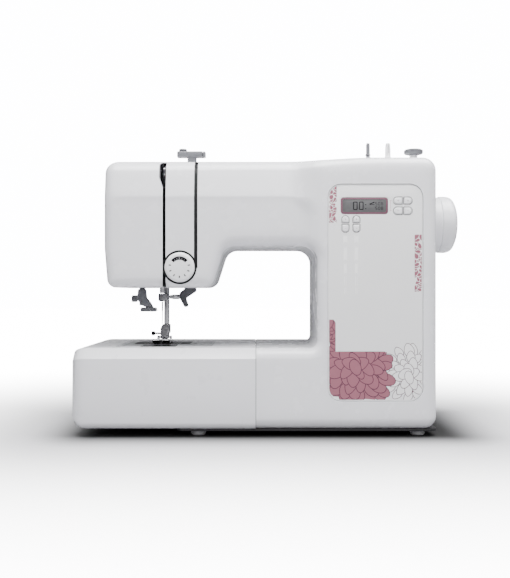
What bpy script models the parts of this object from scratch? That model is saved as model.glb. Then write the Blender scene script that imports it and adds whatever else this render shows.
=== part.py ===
"""Electronic sewing machine with a free arm, built as the separate pieces it comes apart into.

X runs to the right along the arm, Y to the back and Z up. The origin is on the table under the
middle of the machine. Every size is in millimetres; the helpers turn it into Blender's metres.
"""

import math

import bmesh
import bpy
from mathutils import Matrix, Vector

# ---------------------------------------------------------------- driving dimensions, millimetres
MM = 0.001
GAP = 0.3
WALL = 2.6
ARC_STEP = math.radians(22.5)

HALF_DEPTH = 86.0
BODY_RIGHT = 170.4
BODY_TOP = 284.0
BASE_LEFT = -15.0
BASE_BOTTOM = 8.0
BED_TOP = 89.0
BED_LEFT = -203.0
HEAD_LEFT = -170.0
HEAD_BOTTOM = 150.0
ARM_BOTTOM = 192.5
COLUMN_LEFT = 46.7
ARM_FRONT = -78.0
ARM_BACK = 44.0
SEAM_Y = -12.0
SLOT_LEFT = -109.6
SLOT_RIGHT = -106.5
SLOT_TOP = 276.0

SHAFT_Y = -11.0
SHAFT_Z = 219.0
LOWER_SHAFT_Z = 45.0
MOTOR_Z = 60.0
CRANK_RADIUS = 15.75
LINK_LENGTH = 32.0
NEEDLE_X = -117.6
NEEDLE_Y = -11.0
PRESSER_X = -114.5
PRESSER_Y = 4.0
HOOK_Y = -30.0
TAKE_UP_Y = -38.0
TAKE_UP_Z = 240.0
LEVER_X = -96.0
LEVER_Z = 166.0
DIAL_X = -92.3
DIAL_Z = 170.6
FREE_ARM_X = (-160.0, -15.6)
FREE_ARM_Y = (-54.0, 30.0)
FREE_ARM_BOTTOM = 30.0
PANEL_X = (56.8, 151.8)
PANEL_Z = (36.6, 253.6)
PANEL_FRONT = -85.2
PANEL_BACK = -82.8
SPOOL_X = 106.2
TOP_PIN_Y = -20.0
WINDER_X = 127.8
TALLEST = 307.0
HANDLE_X = (-60.0, 70.0)
HANDLE_PIVOT = (0.0, 277.0)
FOOT_PLACES = ((-74, -66), (150, -66), (-74, 66), (150, 66))

# A finish is a colour, a roughness and a metallic value.
WHITE = ((0.80, 0.80, 0.82), 0.30, 0.0)
BED_WHITE = ((0.76, 0.76, 0.79), 0.35, 0.0)
PANEL_GREY = ((0.74, 0.74, 0.75), 0.40, 0.0)
TRIM_GREY = ((0.33, 0.34, 0.36), 0.45, 0.0)
LIGHT_GREY = ((0.60, 0.61, 0.62), 0.50, 0.0)
BLACK = ((0.02, 0.02, 0.02), 0.45, 0.0)
RUBBER = ((0.05, 0.05, 0.05), 0.80, 0.0)
BOARD = ((0.02, 0.16, 0.07), 0.55, 0.0)
GLASS = ((0.20, 0.21, 0.21), 0.12, 0.0)
LENS = ((0.85, 0.85, 0.78), 0.15, 0.0)
STEEL = ((0.62, 0.62, 0.63), 0.28, 1.0)
CHROME = ((0.80, 0.80, 0.81), 0.10, 1.0)
CASTING = ((0.55, 0.56, 0.57), 0.50, 1.0)

for leftover in list(bpy.data.objects):
    bpy.data.objects.remove(leftover, do_unlink=True)

PIECES = bpy.data.collections.new("sewing_machine")
TOOLS = bpy.data.collections.new("cutters")
bpy.context.scene.collection.children.link(PIECES)
bpy.context.scene.collection.children.link(TOOLS)

# The direction of a shape's own Z axis, as the rotation that turns it there.
ALONG = {
    "X": (0.0, math.radians(90), 0.0),
    "Y": (math.radians(-90), 0.0, 0.0),
    "Z": (0.0, 0.0, 0.0),
}
# A flat outline's own plane: seen from the front, from the right side, or from above.
PLANES = {
    "front": (math.radians(90), 0.0, 0.0),
    "side": (math.radians(90), 0.0, math.radians(90)),
    "top": (0.0, 0.0, 0.0),
}


# ---------------------------------------------------------------- shape helpers
def tool(mesh):
    """Put a mesh in an object among the cutters, where it stays unless it becomes a piece."""
    shape = bpy.data.objects.new("cutter", mesh)
    TOOLS.objects.link(shape)
    shape.hide_render = True
    shape.display_type = "WIRE"
    return shape


def box(x, y, z):
    """Make a block from its low and high limits along each axis."""
    mesh = bpy.data.meshes.new("block")
    body = bmesh.new()
    bmesh.ops.create_cube(body, size=1.0)
    size = Vector((x[1] - x[0], y[1] - y[0], z[1] - z[0])) * MM
    bmesh.ops.scale(body, vec=size, verts=body.verts)
    body.to_mesh(mesh)
    body.free()
    shape = tool(mesh)
    shape.location = Vector((sum(x), sum(y), sum(z))) * MM / 2
    return shape


def place(along, at, middle):
    """Return the world point, in metres, of a spot on an axis that runs along X, Y or Z."""
    if along == "X":
        point = Vector((middle, at[0], at[1]))
    elif along == "Y":
        point = Vector((at[0], middle, at[1]))
    else:
        point = Vector((at[0], at[1], middle))
    return point * MM


def rod(along, at, radius, span, sides=20, end_radius=None):
    """Make a round bar along an axis; at holds the two other coordinates of that axis."""
    mesh = bpy.data.meshes.new("rod")
    body = bmesh.new()
    top = radius if end_radius is None else end_radius
    bmesh.ops.create_cone(
        body,
        cap_ends=True,
        segments=sides,
        radius1=radius * MM,
        radius2=top * MM,
        depth=(span[1] - span[0]) * MM,
    )
    body.to_mesh(mesh)
    body.free()
    mesh.shade_smooth()
    mesh.set_sharp_from_angle(angle=math.radians(40))
    shape = tool(mesh)
    shape.location = place(along, at, (span[0] + span[1]) / 2)
    shape.rotation_euler = ALONG[along]
    return shape


def turned(along, at, profile, sides=24, closed=False):
    """Turn a profile of (radius, height) points about an axis, listed down its outer side."""
    mesh = bpy.data.meshes.new("turned")
    points = [(radius * MM, 0.0, height * MM) for radius, height in profile]
    edges = [(index, index + 1) for index in range(len(points) - 1)]
    if closed:
        edges.append((len(points) - 1, 0))
    mesh.from_pydata(points, edges, [])
    shape = tool(mesh)
    shape.location = place(along, at, 0.0)
    shape.rotation_euler = ALONG[along]
    screw = shape.modifiers.new("turn", "SCREW")
    screw.steps = sides
    screw.render_steps = sides
    screw.use_merge_vertices = True
    screw.merge_threshold = 0.00005
    screw.use_smooth_shade = True
    return shape


def rounded(corners):
    """Turn (x, y, radius) corners, listed anticlockwise, into the points of a round outline."""
    points = []
    for index, (x, y, radius) in enumerate(corners):
        here = Vector((x, y))
        back = (Vector(corners[index - 1][:2]) - here).normalized()
        ahead = (Vector(corners[(index + 1) % len(corners)][:2]) - here).normalized()
        if radius <= 0:
            points.append(here)
            continue
        half = back.angle(ahead) / 2
        centre = here + (back + ahead).normalized() * radius / math.sin(half)
        spoke = here + back * radius / math.tan(half) - centre
        sweep = math.pi - 2 * half
        if back.cross(ahead) > 0:
            sweep = -sweep
        steps = max(2, round(abs(sweep) / ARC_STEP))
        for step in range(steps + 1):
            points.append(centre + Matrix.Rotation(sweep * step / steps, 2) @ spoke)
    return points


def inset(corners, wall):
    """Move every side of an anticlockwise outline inwards by one wall."""
    result = []
    for index, (x, y, radius) in enumerate(corners):
        here = Vector((x, y))
        way_in = (here - Vector(corners[index - 1][:2])).normalized()
        way_out = (Vector(corners[(index + 1) % len(corners)][:2]) - here).normalized()
        normal_in = Vector((-way_in.y, way_in.x))
        normal_out = Vector((-way_out.y, way_out.x))
        corner = here + (normal_in + normal_out) * wall / (1 + normal_in.dot(normal_out))
        grown = radius - wall if way_in.cross(way_out) > 0 else radius + wall
        result.append((corner.x, corner.y, max(grown, 0.0)))
    return result


def flat(plane, points, span):
    """Extrude an outline, given in its plane, between two limits across that plane."""
    curve = bpy.data.curves.new("outline", "CURVE")
    curve.dimensions = "2D"
    curve.fill_mode = "BOTH"
    curve.extrude = (span[1] - span[0]) * MM / 2
    spline = curve.splines.new("POLY")
    spline.points.add(len(points) - 1)
    for point, (x, y) in zip(spline.points, points):
        point.co = (x * MM, y * MM, 0.0, 1.0)
    spline.use_cyclic_u = True
    drawn = bpy.data.objects.new("outline", curve)
    TOOLS.objects.link(drawn)
    drawn.rotation_euler = PLANES[plane]
    middle = (span[0] + span[1]) * MM / 2
    axis = {"front": (0, middle, 0), "side": (middle, 0, 0), "top": (0, 0, middle)}
    drawn.location = axis[plane]
    graph = bpy.context.evaluated_depsgraph_get()
    evaluated = drawn.evaluated_get(graph)
    mesh = bpy.data.meshes.new_from_object(evaluated)
    body = bmesh.new()
    body.from_mesh(mesh)
    bmesh.ops.remove_doubles(body, verts=body.verts, dist=0.00001)
    bmesh.ops.recalc_face_normals(body, faces=body.faces)
    body.to_mesh(mesh)
    body.free()
    shape = tool(mesh)
    shape.matrix_world = drawn.matrix_world.copy()
    bpy.data.objects.remove(drawn, do_unlink=True)
    return shape


def slab(plane, x, y, radius, span):
    """Extrude a rectangle with round corners between two limits across its plane."""
    corners = [(x[0], y[0], radius), (x[1], y[0], radius), (x[1], y[1], radius), (x[0], y[1], radius)]
    return flat(plane, rounded(corners), span)


def fuse(shape, *others):
    """Join other shapes to a shape, so that they are one solid."""
    for other in others:
        union = shape.modifiers.new("fuse", "BOOLEAN")
        union.operation = "UNION"
        union.object = other
    return shape


def cut(shape, *others):
    """Take other shapes out of a shape."""
    for other in others:
        difference = shape.modifiers.new("cut", "BOOLEAN")
        difference.operation = "DIFFERENCE"
        difference.object = other
    return shape


def piece(name, shape, finish):
    """Make a shape one of the machine's pieces, with a name and its own material."""
    colour, roughness, metallic = finish
    shape.name = name
    shape.data.name = name
    TOOLS.objects.unlink(shape)
    PIECES.objects.link(shape)
    shape.hide_render = False
    shape.display_type = "TEXTURED"
    material = bpy.data.materials.new(name)
    material.use_nodes = True
    surface = material.node_tree.nodes["Principled BSDF"]
    surface.inputs["Base Color"].default_value = (*colour, 1.0)
    surface.inputs["Roughness"].default_value = roughness
    surface.inputs["Metallic"].default_value = metallic
    material.diffuse_color = (*colour, 1.0)
    shape.data.materials.clear()
    shape.data.materials.append(material)
    return shape


def joint(name, point, *pieces, carrier=None):
    """Hang pieces on an empty that stands on their joint's axis."""
    pivot = bpy.data.objects.new(name, None)
    pivot.empty_display_size = 0.01
    PIECES.objects.link(pivot)
    pivot.location = Vector(point) * MM
    for moving in pieces:
        moving.parent = pivot
        moving.matrix_parent_inverse = Matrix.Translation(-Vector(point) * MM)
    if carrier is not None:
        pivot.parent = carrier
        pivot.matrix_parent_inverse = carrier.matrix_basis.inverted()
    return pivot


# ---------------------------------------------------------------- the covers
def body_outline(left):
    """Corners of the C-shaped body seen from the front, its head cut off square at left."""
    return [
        (BASE_LEFT, BASE_BOTTOM, 2),
        (BODY_RIGHT, BASE_BOTTOM, 10),
        (BODY_RIGHT, BODY_TOP, 13),
        (left, BODY_TOP, 0),
        (left, HEAD_BOTTOM, 0),
        (-60, HEAD_BOTTOM, 10),
        (-46.5, ARM_BOTTOM, 14),
        (COLUMN_LEFT, ARM_BOTTOM, 15),
        (COLUMN_LEFT, BED_TOP, 8),
        (BASE_LEFT, BED_TOP, 2),
    ]


def head_opening():
    """The opening under the head that the needle bar and presser bar come down through."""
    return box((-152, -96), (-40, 20), (HEAD_BOTTOM - 2, HEAD_BOTTOM + 3.5))


def arm_opening():
    """The opening in the left wall of the base that the free arm's mechanism runs through."""
    return box((BASE_LEFT - 2, BASE_LEFT + 4), (-51, 27), (33, 84))


def shaft_hole():
    """The hole in the right wall that the handwheel's shaft comes out of."""
    return rod("X", (SHAFT_Y, SHAFT_Z), 9, (164, 175))


def front_cover():
    shell = flat("front", rounded(body_outline(SLOT_RIGHT)), (-HALF_DEPTH, SEAM_Y))
    arm_step = box((-200, COLUMN_LEFT), (-HALF_DEPTH - 4, ARM_FRONT), (BED_TOP + 0.5, 300))
    hollow = flat("front", rounded(inset(body_outline(-130), WALL)), (ARM_FRONT + WALL, SEAM_Y + 7))
    column = [
        (BASE_LEFT, BASE_BOTTOM, 2),
        (BODY_RIGHT, BASE_BOTTOM, 10),
        (BODY_RIGHT, BODY_TOP, 13),
        (COLUMN_LEFT, BODY_TOP, 2),
        (COLUMN_LEFT, BED_TOP, 8),
        (BASE_LEFT, BED_TOP, 2),
    ]
    deep = flat("front", rounded(inset(column, WALL)), (-HALF_DEPTH + WALL, -70))
    window = slab(
        "front",
        (PANEL_X[0] - GAP, PANEL_X[1] + GAP),
        (PANEL_Z[0] - GAP, PANEL_Z[1] + GAP),
        13.3,
        (-HALF_DEPTH - 2, -80),
    )
    dial_hole = rod("Y", (DIAL_X, DIAL_Z), 15.8, (-90, -70), sides=32)
    slot = box((-77.6, -74.6), (-90, -70), (170, 277))
    winder_slot = slab("top", (123, 138), (TOP_PIN_Y - 4.2, TOP_PIN_Y + 4.2), 4.1, (275, 290))
    floor_opening = box((-8, 156), (-79, -5), (5, 12))
    cut(
        shell, arm_step, hollow, deep, window, dial_hole, slot, winder_slot, floor_opening,
        head_opening(), arm_opening(), shaft_hole(),
    )
    fuse(shell, rod("Z", (SPOOL_X, TOP_PIN_Y), 5, (BODY_TOP - 1, BODY_TOP + 2)))
    return piece("front_cover", shell, WHITE)


def rear_cover():
    left = SLOT_LEFT + GAP
    shell = flat("front", rounded(body_outline(left)), (SEAM_Y + GAP, ARM_BACK))
    block = slab("front", (BASE_LEFT, BODY_RIGHT), (BASE_BOTTOM, BED_TOP), 8, (40, HALF_DEPTH))
    hollow = flat("front", rounded(inset(body_outline(-130), WALL)), (-20, ARM_BACK - WALL))
    recess = (HANDLE_X[0] - 5, HANDLE_X[1] + 5)
    spared = box((recess[0] - WALL, recess[1] + WALL), (-8.6, 60), (265.4, 300))
    cut(hollow, spared)
    low_hollow = slab(
        "front",
        (BASE_LEFT + WALL, BODY_RIGHT - WALL),
        (BASE_BOTTOM + WALL, BED_TOP - WALL),
        6,
        (-20, HALF_DEPTH - WALL),
    )
    handle_well = box(recess, (-6, 60), (268, 300))
    hinge_holes = rod("X", HANDLE_PIVOT, 2.8, (recess[0] - 2.1, recess[1] + 2.1))
    lever_hole = rod("Y", (LEVER_X, LEVER_Z), 4.3, (38, 48))
    switch_window = box((164, 175), (-GAP, 12 + GAP), (41.7, 62.3))
    socket_window = box((164, 175), (15.7, 36.3), (39.7, 62.3))
    floor_opening = box((-8, 156), (-20, 79), (5, 12))
    fuse(shell, block)
    cut(
        shell, hollow, low_hollow, handle_well, hinge_holes, lever_hole, switch_window,
        socket_window, floor_opening, head_opening(), arm_opening(), shaft_hole(),
    )
    return piece("rear_cover", shell, WHITE)


def face_cover():
    outline = [
        (HEAD_LEFT, HEAD_BOTTOM, 9),
        (SLOT_LEFT, HEAD_BOTTOM, 0),
        (SLOT_LEFT, SLOT_TOP, 0),
        (SLOT_RIGHT - GAP, SLOT_TOP, 0),
        (SLOT_RIGHT - GAP, BODY_TOP, 0),
        (HEAD_LEFT, BODY_TOP, 12),
    ]
    shell = flat("front", rounded(outline), (ARM_FRONT, SEAM_Y))
    rear_outline = [
        (HEAD_LEFT, HEAD_BOTTOM, 9),
        (SLOT_LEFT, HEAD_BOTTOM, 0),
        (SLOT_LEFT, BODY_TOP, 0),
        (HEAD_LEFT, BODY_TOP, 12),
    ]
    fuse(shell, flat("front", rounded(rear_outline), (SEAM_Y - 1, ARM_BACK)))
    room = [(x if x == HEAD_LEFT else x + 30, z, radius) for x, z, radius in rear_outline]
    hollow = flat("front", rounded(inset(room, WALL)), (ARM_FRONT + WALL, ARM_BACK - WALL))
    notch = box((-113.5, SLOT_LEFT + 1), (-84, -74), (253, SLOT_TOP))
    cut(shell, hollow, notch, head_opening())
    return piece("face_cover", shell, WHITE)


def bottom_plate():
    plate = slab("top", (-95, 168), (-78, 78), 6, (5, BASE_BOTTOM - GAP))
    return piece("bottom_plate", plate, LIGHT_GREY)


def feet():
    for number, at in enumerate(FOOT_PLACES, 1):
        foot = turned("Z", at, [(0, 4.7), (8, 4.7), (7, 0), (0, 0)], sides=16)
        piece(f"foot_{number}", foot, RUBBER)


# ---------------------------------------------------------------- the free arm and the bed
def free_arm_cover():
    top = (BED_TOP - 2.1, BED_TOP + 3)
    shell = slab("front", FREE_ARM_X, (FREE_ARM_BOTTOM, BED_TOP), 3, FREE_ARM_Y)
    room = box((FREE_ARM_X[0] + 2.5, 0), (FREE_ARM_Y[0] + 2.5, FREE_ARM_Y[1] - 2.5), (32.5, 84.4))
    plate_seat = box((-157, -61), (-51.7, 27.7), top)
    top_opening = box((-146, -72), (-48, 24), (80, 95))
    cover_way_out = box((-136.3, -98.7), (-60, -50), top)
    lever_slot = box((-62, -38), (25, 35), (55.5, 62.5))
    cut(shell, room, plate_seat, top_opening, cover_way_out, lever_slot)
    return piece("free_arm_cover", shell, BED_WHITE)


def needle_plate():
    plate = box((-156.7, -61.3), (-51.4, 27.4), (BED_TOP - 1.8, BED_TOP))
    cover_opening = box((-136.3, -98.7), (-55, -18.7), (80, 95))
    left_slot = box((-127.3, -122.7), (-17, 13), (80, 95))
    middle_slot = box((-119.9, -115.3), (-7, 13), (80, 95))
    right_slot = box((-112.5, -107.9), (-17, 13), (80, 95))
    needle_hole = slab("top", (-121.1, -114.1), (NEEDLE_Y - 1, NEEDLE_Y + 1), 0.9, (80, 95))
    cut(plate, cover_opening, left_slot, middle_slot, right_slot, needle_hole)
    return piece("needle_plate", plate, STEEL)


def bobbin_cover():
    cover = slab("top", (-136, -99), (-51.4, -19), 1.5, (BED_TOP - 1.8, BED_TOP - 0.2))
    moving = piece("bobbin_cover", cover, GLASS)
    joint("bobbin_cover_pivot", (NEEDLE_X, HOOK_Y, BED_TOP), moving)


def bed_attachment():
    outline = [
        (BED_LEFT, BASE_BOTTOM, 16),
        (BASE_LEFT - GAP, BASE_BOTTOM, 0),
        (BASE_LEFT - GAP, BED_TOP, 0),
        (BED_LEFT, BED_TOP, 14),
    ]
    shell = flat("front", rounded(outline), (-HALF_DEPTH, HALF_DEPTH))
    cut(shell, box((-161, 10), (-57, 33), (0, 100)))
    room = [(x if x == BED_LEFT else x + 20, z, radius) for x, z, radius in outline]
    hollow = flat("front", rounded(inset(room, 2.5)), (-HALF_DEPTH + 2.5, HALF_DEPTH - 2.5))
    cut(hollow, box((-163.5, 30), (-59.5, 35.5), (0, 100)))
    cut(shell, hollow)
    moving = piece("bed_attachment", shell, BED_WHITE)
    joint("attachment_pivot", (BASE_LEFT, 0, BASE_BOTTOM), moving)


# ---------------------------------------------------------------- the frame and the drive
def frame_casting():
    back = (12, 20)
    frame = box((-128, 146), back, (200, 258))
    fuse(
        frame,
        box((-128, -70), back, (158, 210)),
        box((90, 146), back, (34, 262)),
        box((-150, 146), back, (34, 50)),
        box((100, 124), back, (BASE_BOTTOM, 40)),
        box((0, 24), back, (BASE_BOTTOM, 40)),
        box((112, 144), (-32, 20), (260, 267.6)),
        box((-146, -120), back, (172, 180)),
        box((-146, -132), (-22, 14), (172, 180)),
        box((-93, -86), (-42, 14), (236, 244)),
        rod("X", (TAKE_UP_Y, TAKE_UP_Z), 2.5, (-109.2, -88), sides=12),
    )
    for low, high in ((-88, -80), (120, 128)):
        fuse(frame, box((low, high), (-19, 14), (211, 227)))
        cut(frame, rod("X", (SHAFT_Y, SHAFT_Z), 5.3, (low - 1, high + 1)))
    for low, high in ((-88, -80), (20, 28)):
        fuse(frame, box((low, high), (-19, 14), (38, 52)))
        cut(frame, rod("X", (SHAFT_Y, LOWER_SHAFT_Z), 4.3, (low - 1, high + 1), sides=16))
    for low, high in ((208, 216), (160, 168)):
        fuse(frame, box((-124, -110.2), (-17, 14), (low, high)))
        cut(frame, rod("Z", (NEEDLE_X, NEEDLE_Y), 3.3, (low - 1, high + 1), sides=16))
        cut(frame, rod("Z", (PRESSER_X, PRESSER_Y), 3.3, (low - 1, high + 1), sides=16))
    cut(frame, box((-142.3, -135.7), (-18.3, -11.7), (170, 182)))
    return piece("frame_casting", frame, CASTING)


def tooth_ring(teeth, tip, root):
    """Points of a toothed wheel's outline, with flat tips and straight flanks."""
    points = []
    for tooth in range(teeth):
        for share, radius in ((0.0, tip), (0.3, tip), (0.5, root), (0.8, root)):
            angle = 2 * math.pi * (tooth + share) / teeth
            points.append(Vector((radius * math.cos(angle), radius * math.sin(angle))))
    return points


def gear(plane, at, teeth, tip, root, span):
    """A toothed wheel whose outline lies in a plane, centred on a point of that plane."""
    centre = Vector(at)
    return flat(plane, [centre + point for point in tooth_ring(teeth, tip, root)], span)


def drive():
    axis = (SHAFT_Y, SHAFT_Z)
    shaft = rod("X", axis, 5, (-98, 187.7))
    fuse(
        shaft,
        rod("X", axis, 18, (-100, -94), sides=32),
        rod("X", (SHAFT_Y, SHAFT_Z + CRANK_RADIUS), 2.5, (-109.3, -97), sides=12),
        gear("side", axis, 18, 14, 12.6, (60, 70)),
    )
    shaft = piece("main_shaft", shaft, STEEL)
    pulley = [(32, 4), (32, 3.6), (31.4, 3), (31.4, -3), (32, -3.6), (32, -4), (5.3, -4), (5.3, 4)]
    pulley = turned("X", axis, [(radius, 154 + step) for radius, step in pulley], 32, closed=True)
    pulley = piece("main_pulley", pulley, ((0.10, 0.10, 0.10), 0.5, 0.0))
    rim = [(0, 203), (26, 203), (29.6, 201), (30.8, 197), (30.8, 184), (29, 175), (26, 173), (5.3, 173)]
    rim += [(5.3, 188), (0, 188)]
    wheel = piece("handwheel", turned("X", axis, rim, sides=40), WHITE)
    return joint("handwheel_pivot", (0, SHAFT_Y, SHAFT_Z), shaft, pulley, wheel)


def needle_link(carrier):
    top = SHAFT_Z + CRANK_RADIUS
    low = top - LINK_LENGTH
    outline = [
        (SHAFT_Y - 4.5, low - 4.5, 4.4),
        (SHAFT_Y + 4.5, low - 4.5, 4.4),
        (SHAFT_Y + 4.5, top + 4.5, 4.4),
        (SHAFT_Y - 4.5, top + 4.5, 4.4),
    ]
    link = flat("side", rounded(outline), (-109.4, -106.8))
    cut(link, rod("X", (SHAFT_Y, top), 2.8, (-112, -104), sides=12))
    link = piece("needle_link", link, STEEL)
    joint("link_pivot", (-108, SHAFT_Y, top), link, carrier=carrier)


def take_up_lever():
    tip = (-72.0, 268.0)
    lever = rod("X", (TAKE_UP_Y, TAKE_UP_Z), 5, (-108.9, -107.3), sides=16)
    outline = [
        (TAKE_UP_Y - 2, TAKE_UP_Z - 4, 0),
        (TAKE_UP_Y + 4, TAKE_UP_Z + 2, 0),
        (tip[0] + 6, tip[1] + 4, 2),
        (tip[0] - 2, tip[1] + 4, 2),
        (tip[0] - 2, tip[1] - 3, 2),
    ]
    fuse(lever, flat("side", rounded(outline), (-108.9, -107.3)))
    cut(lever, rod("X", (TAKE_UP_Y, TAKE_UP_Z), 2.8, (-112, -104), sides=12))
    cut(lever, rod("X", (tip[0] + 2, tip[1] + 0.5), 1.2, (-112, -104), sides=8))
    lever = piece("take_up_lever", lever, CHROME)
    joint("take_up_pivot", (-108, TAKE_UP_Y, TAKE_UP_Z), lever)


def belt(lower, low_radius, upper, high_radius, thickness, x):
    """A flat belt in the YZ plane round two pulleys, made as an outer loop less an inner one."""
    lean = math.asin((high_radius - low_radius) / (upper - lower))
    steps = 18
    loops = []
    for grow in (thickness, 0):
        loop = []
        for height, radius, start, sweep in (
            (lower, low_radius + grow, math.pi + lean, math.pi - 2 * lean),
            (upper, high_radius + grow, -lean, math.pi + 2 * lean),
        ):
            for step in range(steps + 1):
                angle = start + sweep * step / steps
                loop.append((SHAFT_Y + radius * math.cos(angle), height + radius * math.sin(angle)))
        loops.append(loop)
    outer = flat("side", loops[0], x)
    return cut(outer, flat("side", loops[1], (x[0] - 1, x[1] + 1)))


def belts():
    piece("drive_belt", belt(MOTOR_Z, 6.3, SHAFT_Z, 32.3, 1.7, (150.5, 157.5)), RUBBER)
    piece("timing_belt", belt(LOWER_SHAFT_Z, 14.3, SHAFT_Z, 14.3, 1.7, (60.5, 69.5)), RUBBER)


def motor():
    body = rod("X", (SHAFT_Y, MOTOR_Z), 22, (88, 146), sides=28)
    cut(body, rod("X", (SHAFT_Y, MOTOR_Z), 14, (92, 150), sides=24))
    piece("motor", body, STEEL)
    wheel = rod("X", (SHAFT_Y, MOTOR_Z), 6, (150, 158), sides=20)
    fuse(
        wheel,
        rod("X", (SHAFT_Y, MOTOR_Z), 2, (96, 152), sides=12),
        rod("X", (SHAFT_Y, MOTOR_Z), 12, (98, 138), sides=20),
    )
    wheel = piece("motor_pulley", wheel, STEEL)
    joint("motor_pivot", (154, SHAFT_Y, MOTOR_Z), wheel)


def lower_shaft():
    axis = (SHAFT_Y, LOWER_SHAFT_Z)
    shaft = rod("X", axis, 4, (-121, 68), sides=16)
    fuse(
        shaft,
        gear("side", axis, 20, 12.3, 10.6, (-122, -113)),
        gear("side", axis, 18, 14, 12.6, (60, 70)),
    )
    shaft = piece("lower_shaft", shaft, STEEL)
    joint("lower_shaft_pivot", (0, SHAFT_Y, LOWER_SHAFT_Z), shaft)


def hook_group():
    at = (NEEDLE_X, HOOK_Y)
    cup = [(0, 60), (14.2, 60), (14.2, 80), (17, 80), (17, 62), (12, 57), (0, 57)]
    hook = turned("Z", at, cup, sides=32)
    fuse(hook, rod("Z", at, 3, (38, 58), sides=12), gear("top", at, 10, 6.2, 4.8, (40, 50)))
    hook = piece("hook", hook, STEEL)
    joint("hook_pivot", (*at, 57), hook)
    case = [(0, 62.5), (11.2, 62.5), (11.2, 79), (13.5, 79), (13.5, 60.5), (0, 60.5)]
    piece("bobbin_case", turned("Z", at, case, sides=28), BLACK)
    bobbin = [(10.2, 75), (10.2, 74), (4, 73.6), (4, 65.4), (10.2, 65), (10.2, 64), (3, 64), (3, 75)]
    bobbin = piece("bobbin", turned("Z", at, bobbin, sides=24, closed=True), LENS)
    joint("bobbin_pivot", (*at, 64), bobbin)


# ---------------------------------------------------------------- needle, foot and feed
def needle_group():
    at = (NEEDLE_X, NEEDLE_Y)
    bar = rod("Z", at, 3, (144.3, 250), sides=16)
    fuse(bar, rod("X", (NEEDLE_Y, 202.75), 2, (-116, -109.9), sides=12))
    bar = piece("needle_bar", bar, STEEL)
    clamp = rod("Z", at, 4.6, (135.3, 144), sides=20)
    fuse(clamp, box((-119, -111.6), (-14, -8), (136.3, 143.4)))
    clamp = piece("needle_clamp", clamp, STEEL)
    needle = rod("Z", at, 0.4, (110, 116), sides=10, end_radius=0.8)
    fuse(needle, rod("Z", at, 0.8, (115.9, 135), sides=10))
    needle = piece("needle", needle, CHROME)
    carrier = joint("needle_pivot", (*at, 144), bar, clamp, needle)
    screw = rod("X", (NEEDLE_Y, 140.3), 1.5, (-111.3, -106), sides=10)
    fuse(screw, gear("side", (NEEDLE_Y, 140.3), 14, 3.6, 3.2, (-107, -100)))
    screw = piece("clamp_screw", screw, STEEL)
    joint("clamp_screw_pivot", (-105, NEEDLE_Y, 140.3), screw, carrier=carrier)


def presser_group():
    bar = rod("Z", (PRESSER_X, PRESSER_Y), 3, (110.3, 262), sides=16)
    bar = piece("presser_bar", bar, STEEL)
    holder = slab("front", (-121, -112), (93.8, 110), 1.2, (-2, 10))
    cut(holder, box((-130, -100), (2.4, 5.6), (90, 97.1)))
    fuse(holder, rod("X", (PRESSER_Y, 105), 2.6, (-125.3, -120), sides=14))
    holder = piece("foot_holder", holder, STEEL)
    carrier = joint("presser_bar_pivot", (PRESSER_X, PRESSER_Y, 110), bar, holder)
    sole = [
        (-27, 93.6, 0),
        (-22, 90.3, 1.5),
        (6, 90.3, 0),
        (6, 92.3, 0),
        (-21.4, 92.3, 1.5),
        (-26, 95.4, 0),
    ]
    foot = flat("side", rounded(sole), (-127, -108))
    fuse(
        foot,
        box((-125, -122), (1.5, 6), (91, 97)),
        box((-111, -108.6), (1.5, 6), (91, 97)),
        rod("X", (PRESSER_Y, 95.5), 1.1, (-124, -109), sides=10),
    )
    cut(foot, slab("top", (-121.5, -113.7), (-13.5, -8.5), 2, (85, 99)))
    cut(foot, box((-118.6, -116.6), (-30, -12), (85, 99)))
    foot = piece("presser_foot", foot, CHROME)
    joint("foot_pivot", (PRESSER_X, PRESSER_Y, 95.5), foot, carrier=carrier)


def presser_lever():
    tail = [
        (-103.5, 124, 4),
        (-92, 124, 4),
        (-90, 140, 6),
        (-90.5, 170, 5),
        (-101, 171, 5),
        (-100.5, 140, 6),
    ]
    lever = flat("front", rounded(tail), (46, 51))
    fuse(lever, rod("Y", (LEVER_X, LEVER_Z), 4, (22, 47), sides=16))
    lever = piece("presser_lever", lever, TRIM_GREY)
    joint("presser_lever_pivot", (LEVER_X, 48.5, LEVER_Z), lever)


def needle_threader():
    stem = box((-142, -136), (-18, -12), (131, 200))
    fuse(
        stem,
        box((-142, -121.5), (-24, -18.5), (124, 130)),
        box((-142, -136), (-24, -15), (124, 134)),
        slab("front", (-150, -138), (132, 144), 2, (-22, -15)),
    )
    stem = piece("needle_threader", stem, TRIM_GREY)
    joint("threader_pivot", (-139, -15, 131), stem)


def feed_group():
    bar = piece("feed_bar", box((-127, -108), (-6, 24), (74, 80.7)), CASTING)
    carrier = joint("feed_bar_pivot", (NEEDLE_X, 8, 74), bar)
    dog = box((-127, -108), (-8, 12), (81, 84))
    for middle, start in ((-125, -14), (-117.6, -4), (-110.2, -14)):
        row = [(start, 83.5), (10, 83.5), (10, 88.5)]
        teeth = 12 if start == -14 else 7
        pitch = (10 - start) / teeth
        for tooth in range(teeth):
            row.append((10 - pitch * tooth - pitch * 0.3, 90))
            row.append((10 - pitch * (tooth + 1), 88.5))
        fuse(dog, flat("side", row, (middle - 1.8, middle + 1.8)))
    dog = piece("feed_dog", dog, STEEL)
    joint("feed_dog_pivot", (NEEDLE_X, 8, 84), dog, carrier=carrier)
    tab = box((-60, -52), (25, 32.6), (56, 62))
    tab = piece("drop_feed_lever", tab, TRIM_GREY)
    joint("drop_feed_pivot", (-56, 29, 59), tab)


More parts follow.
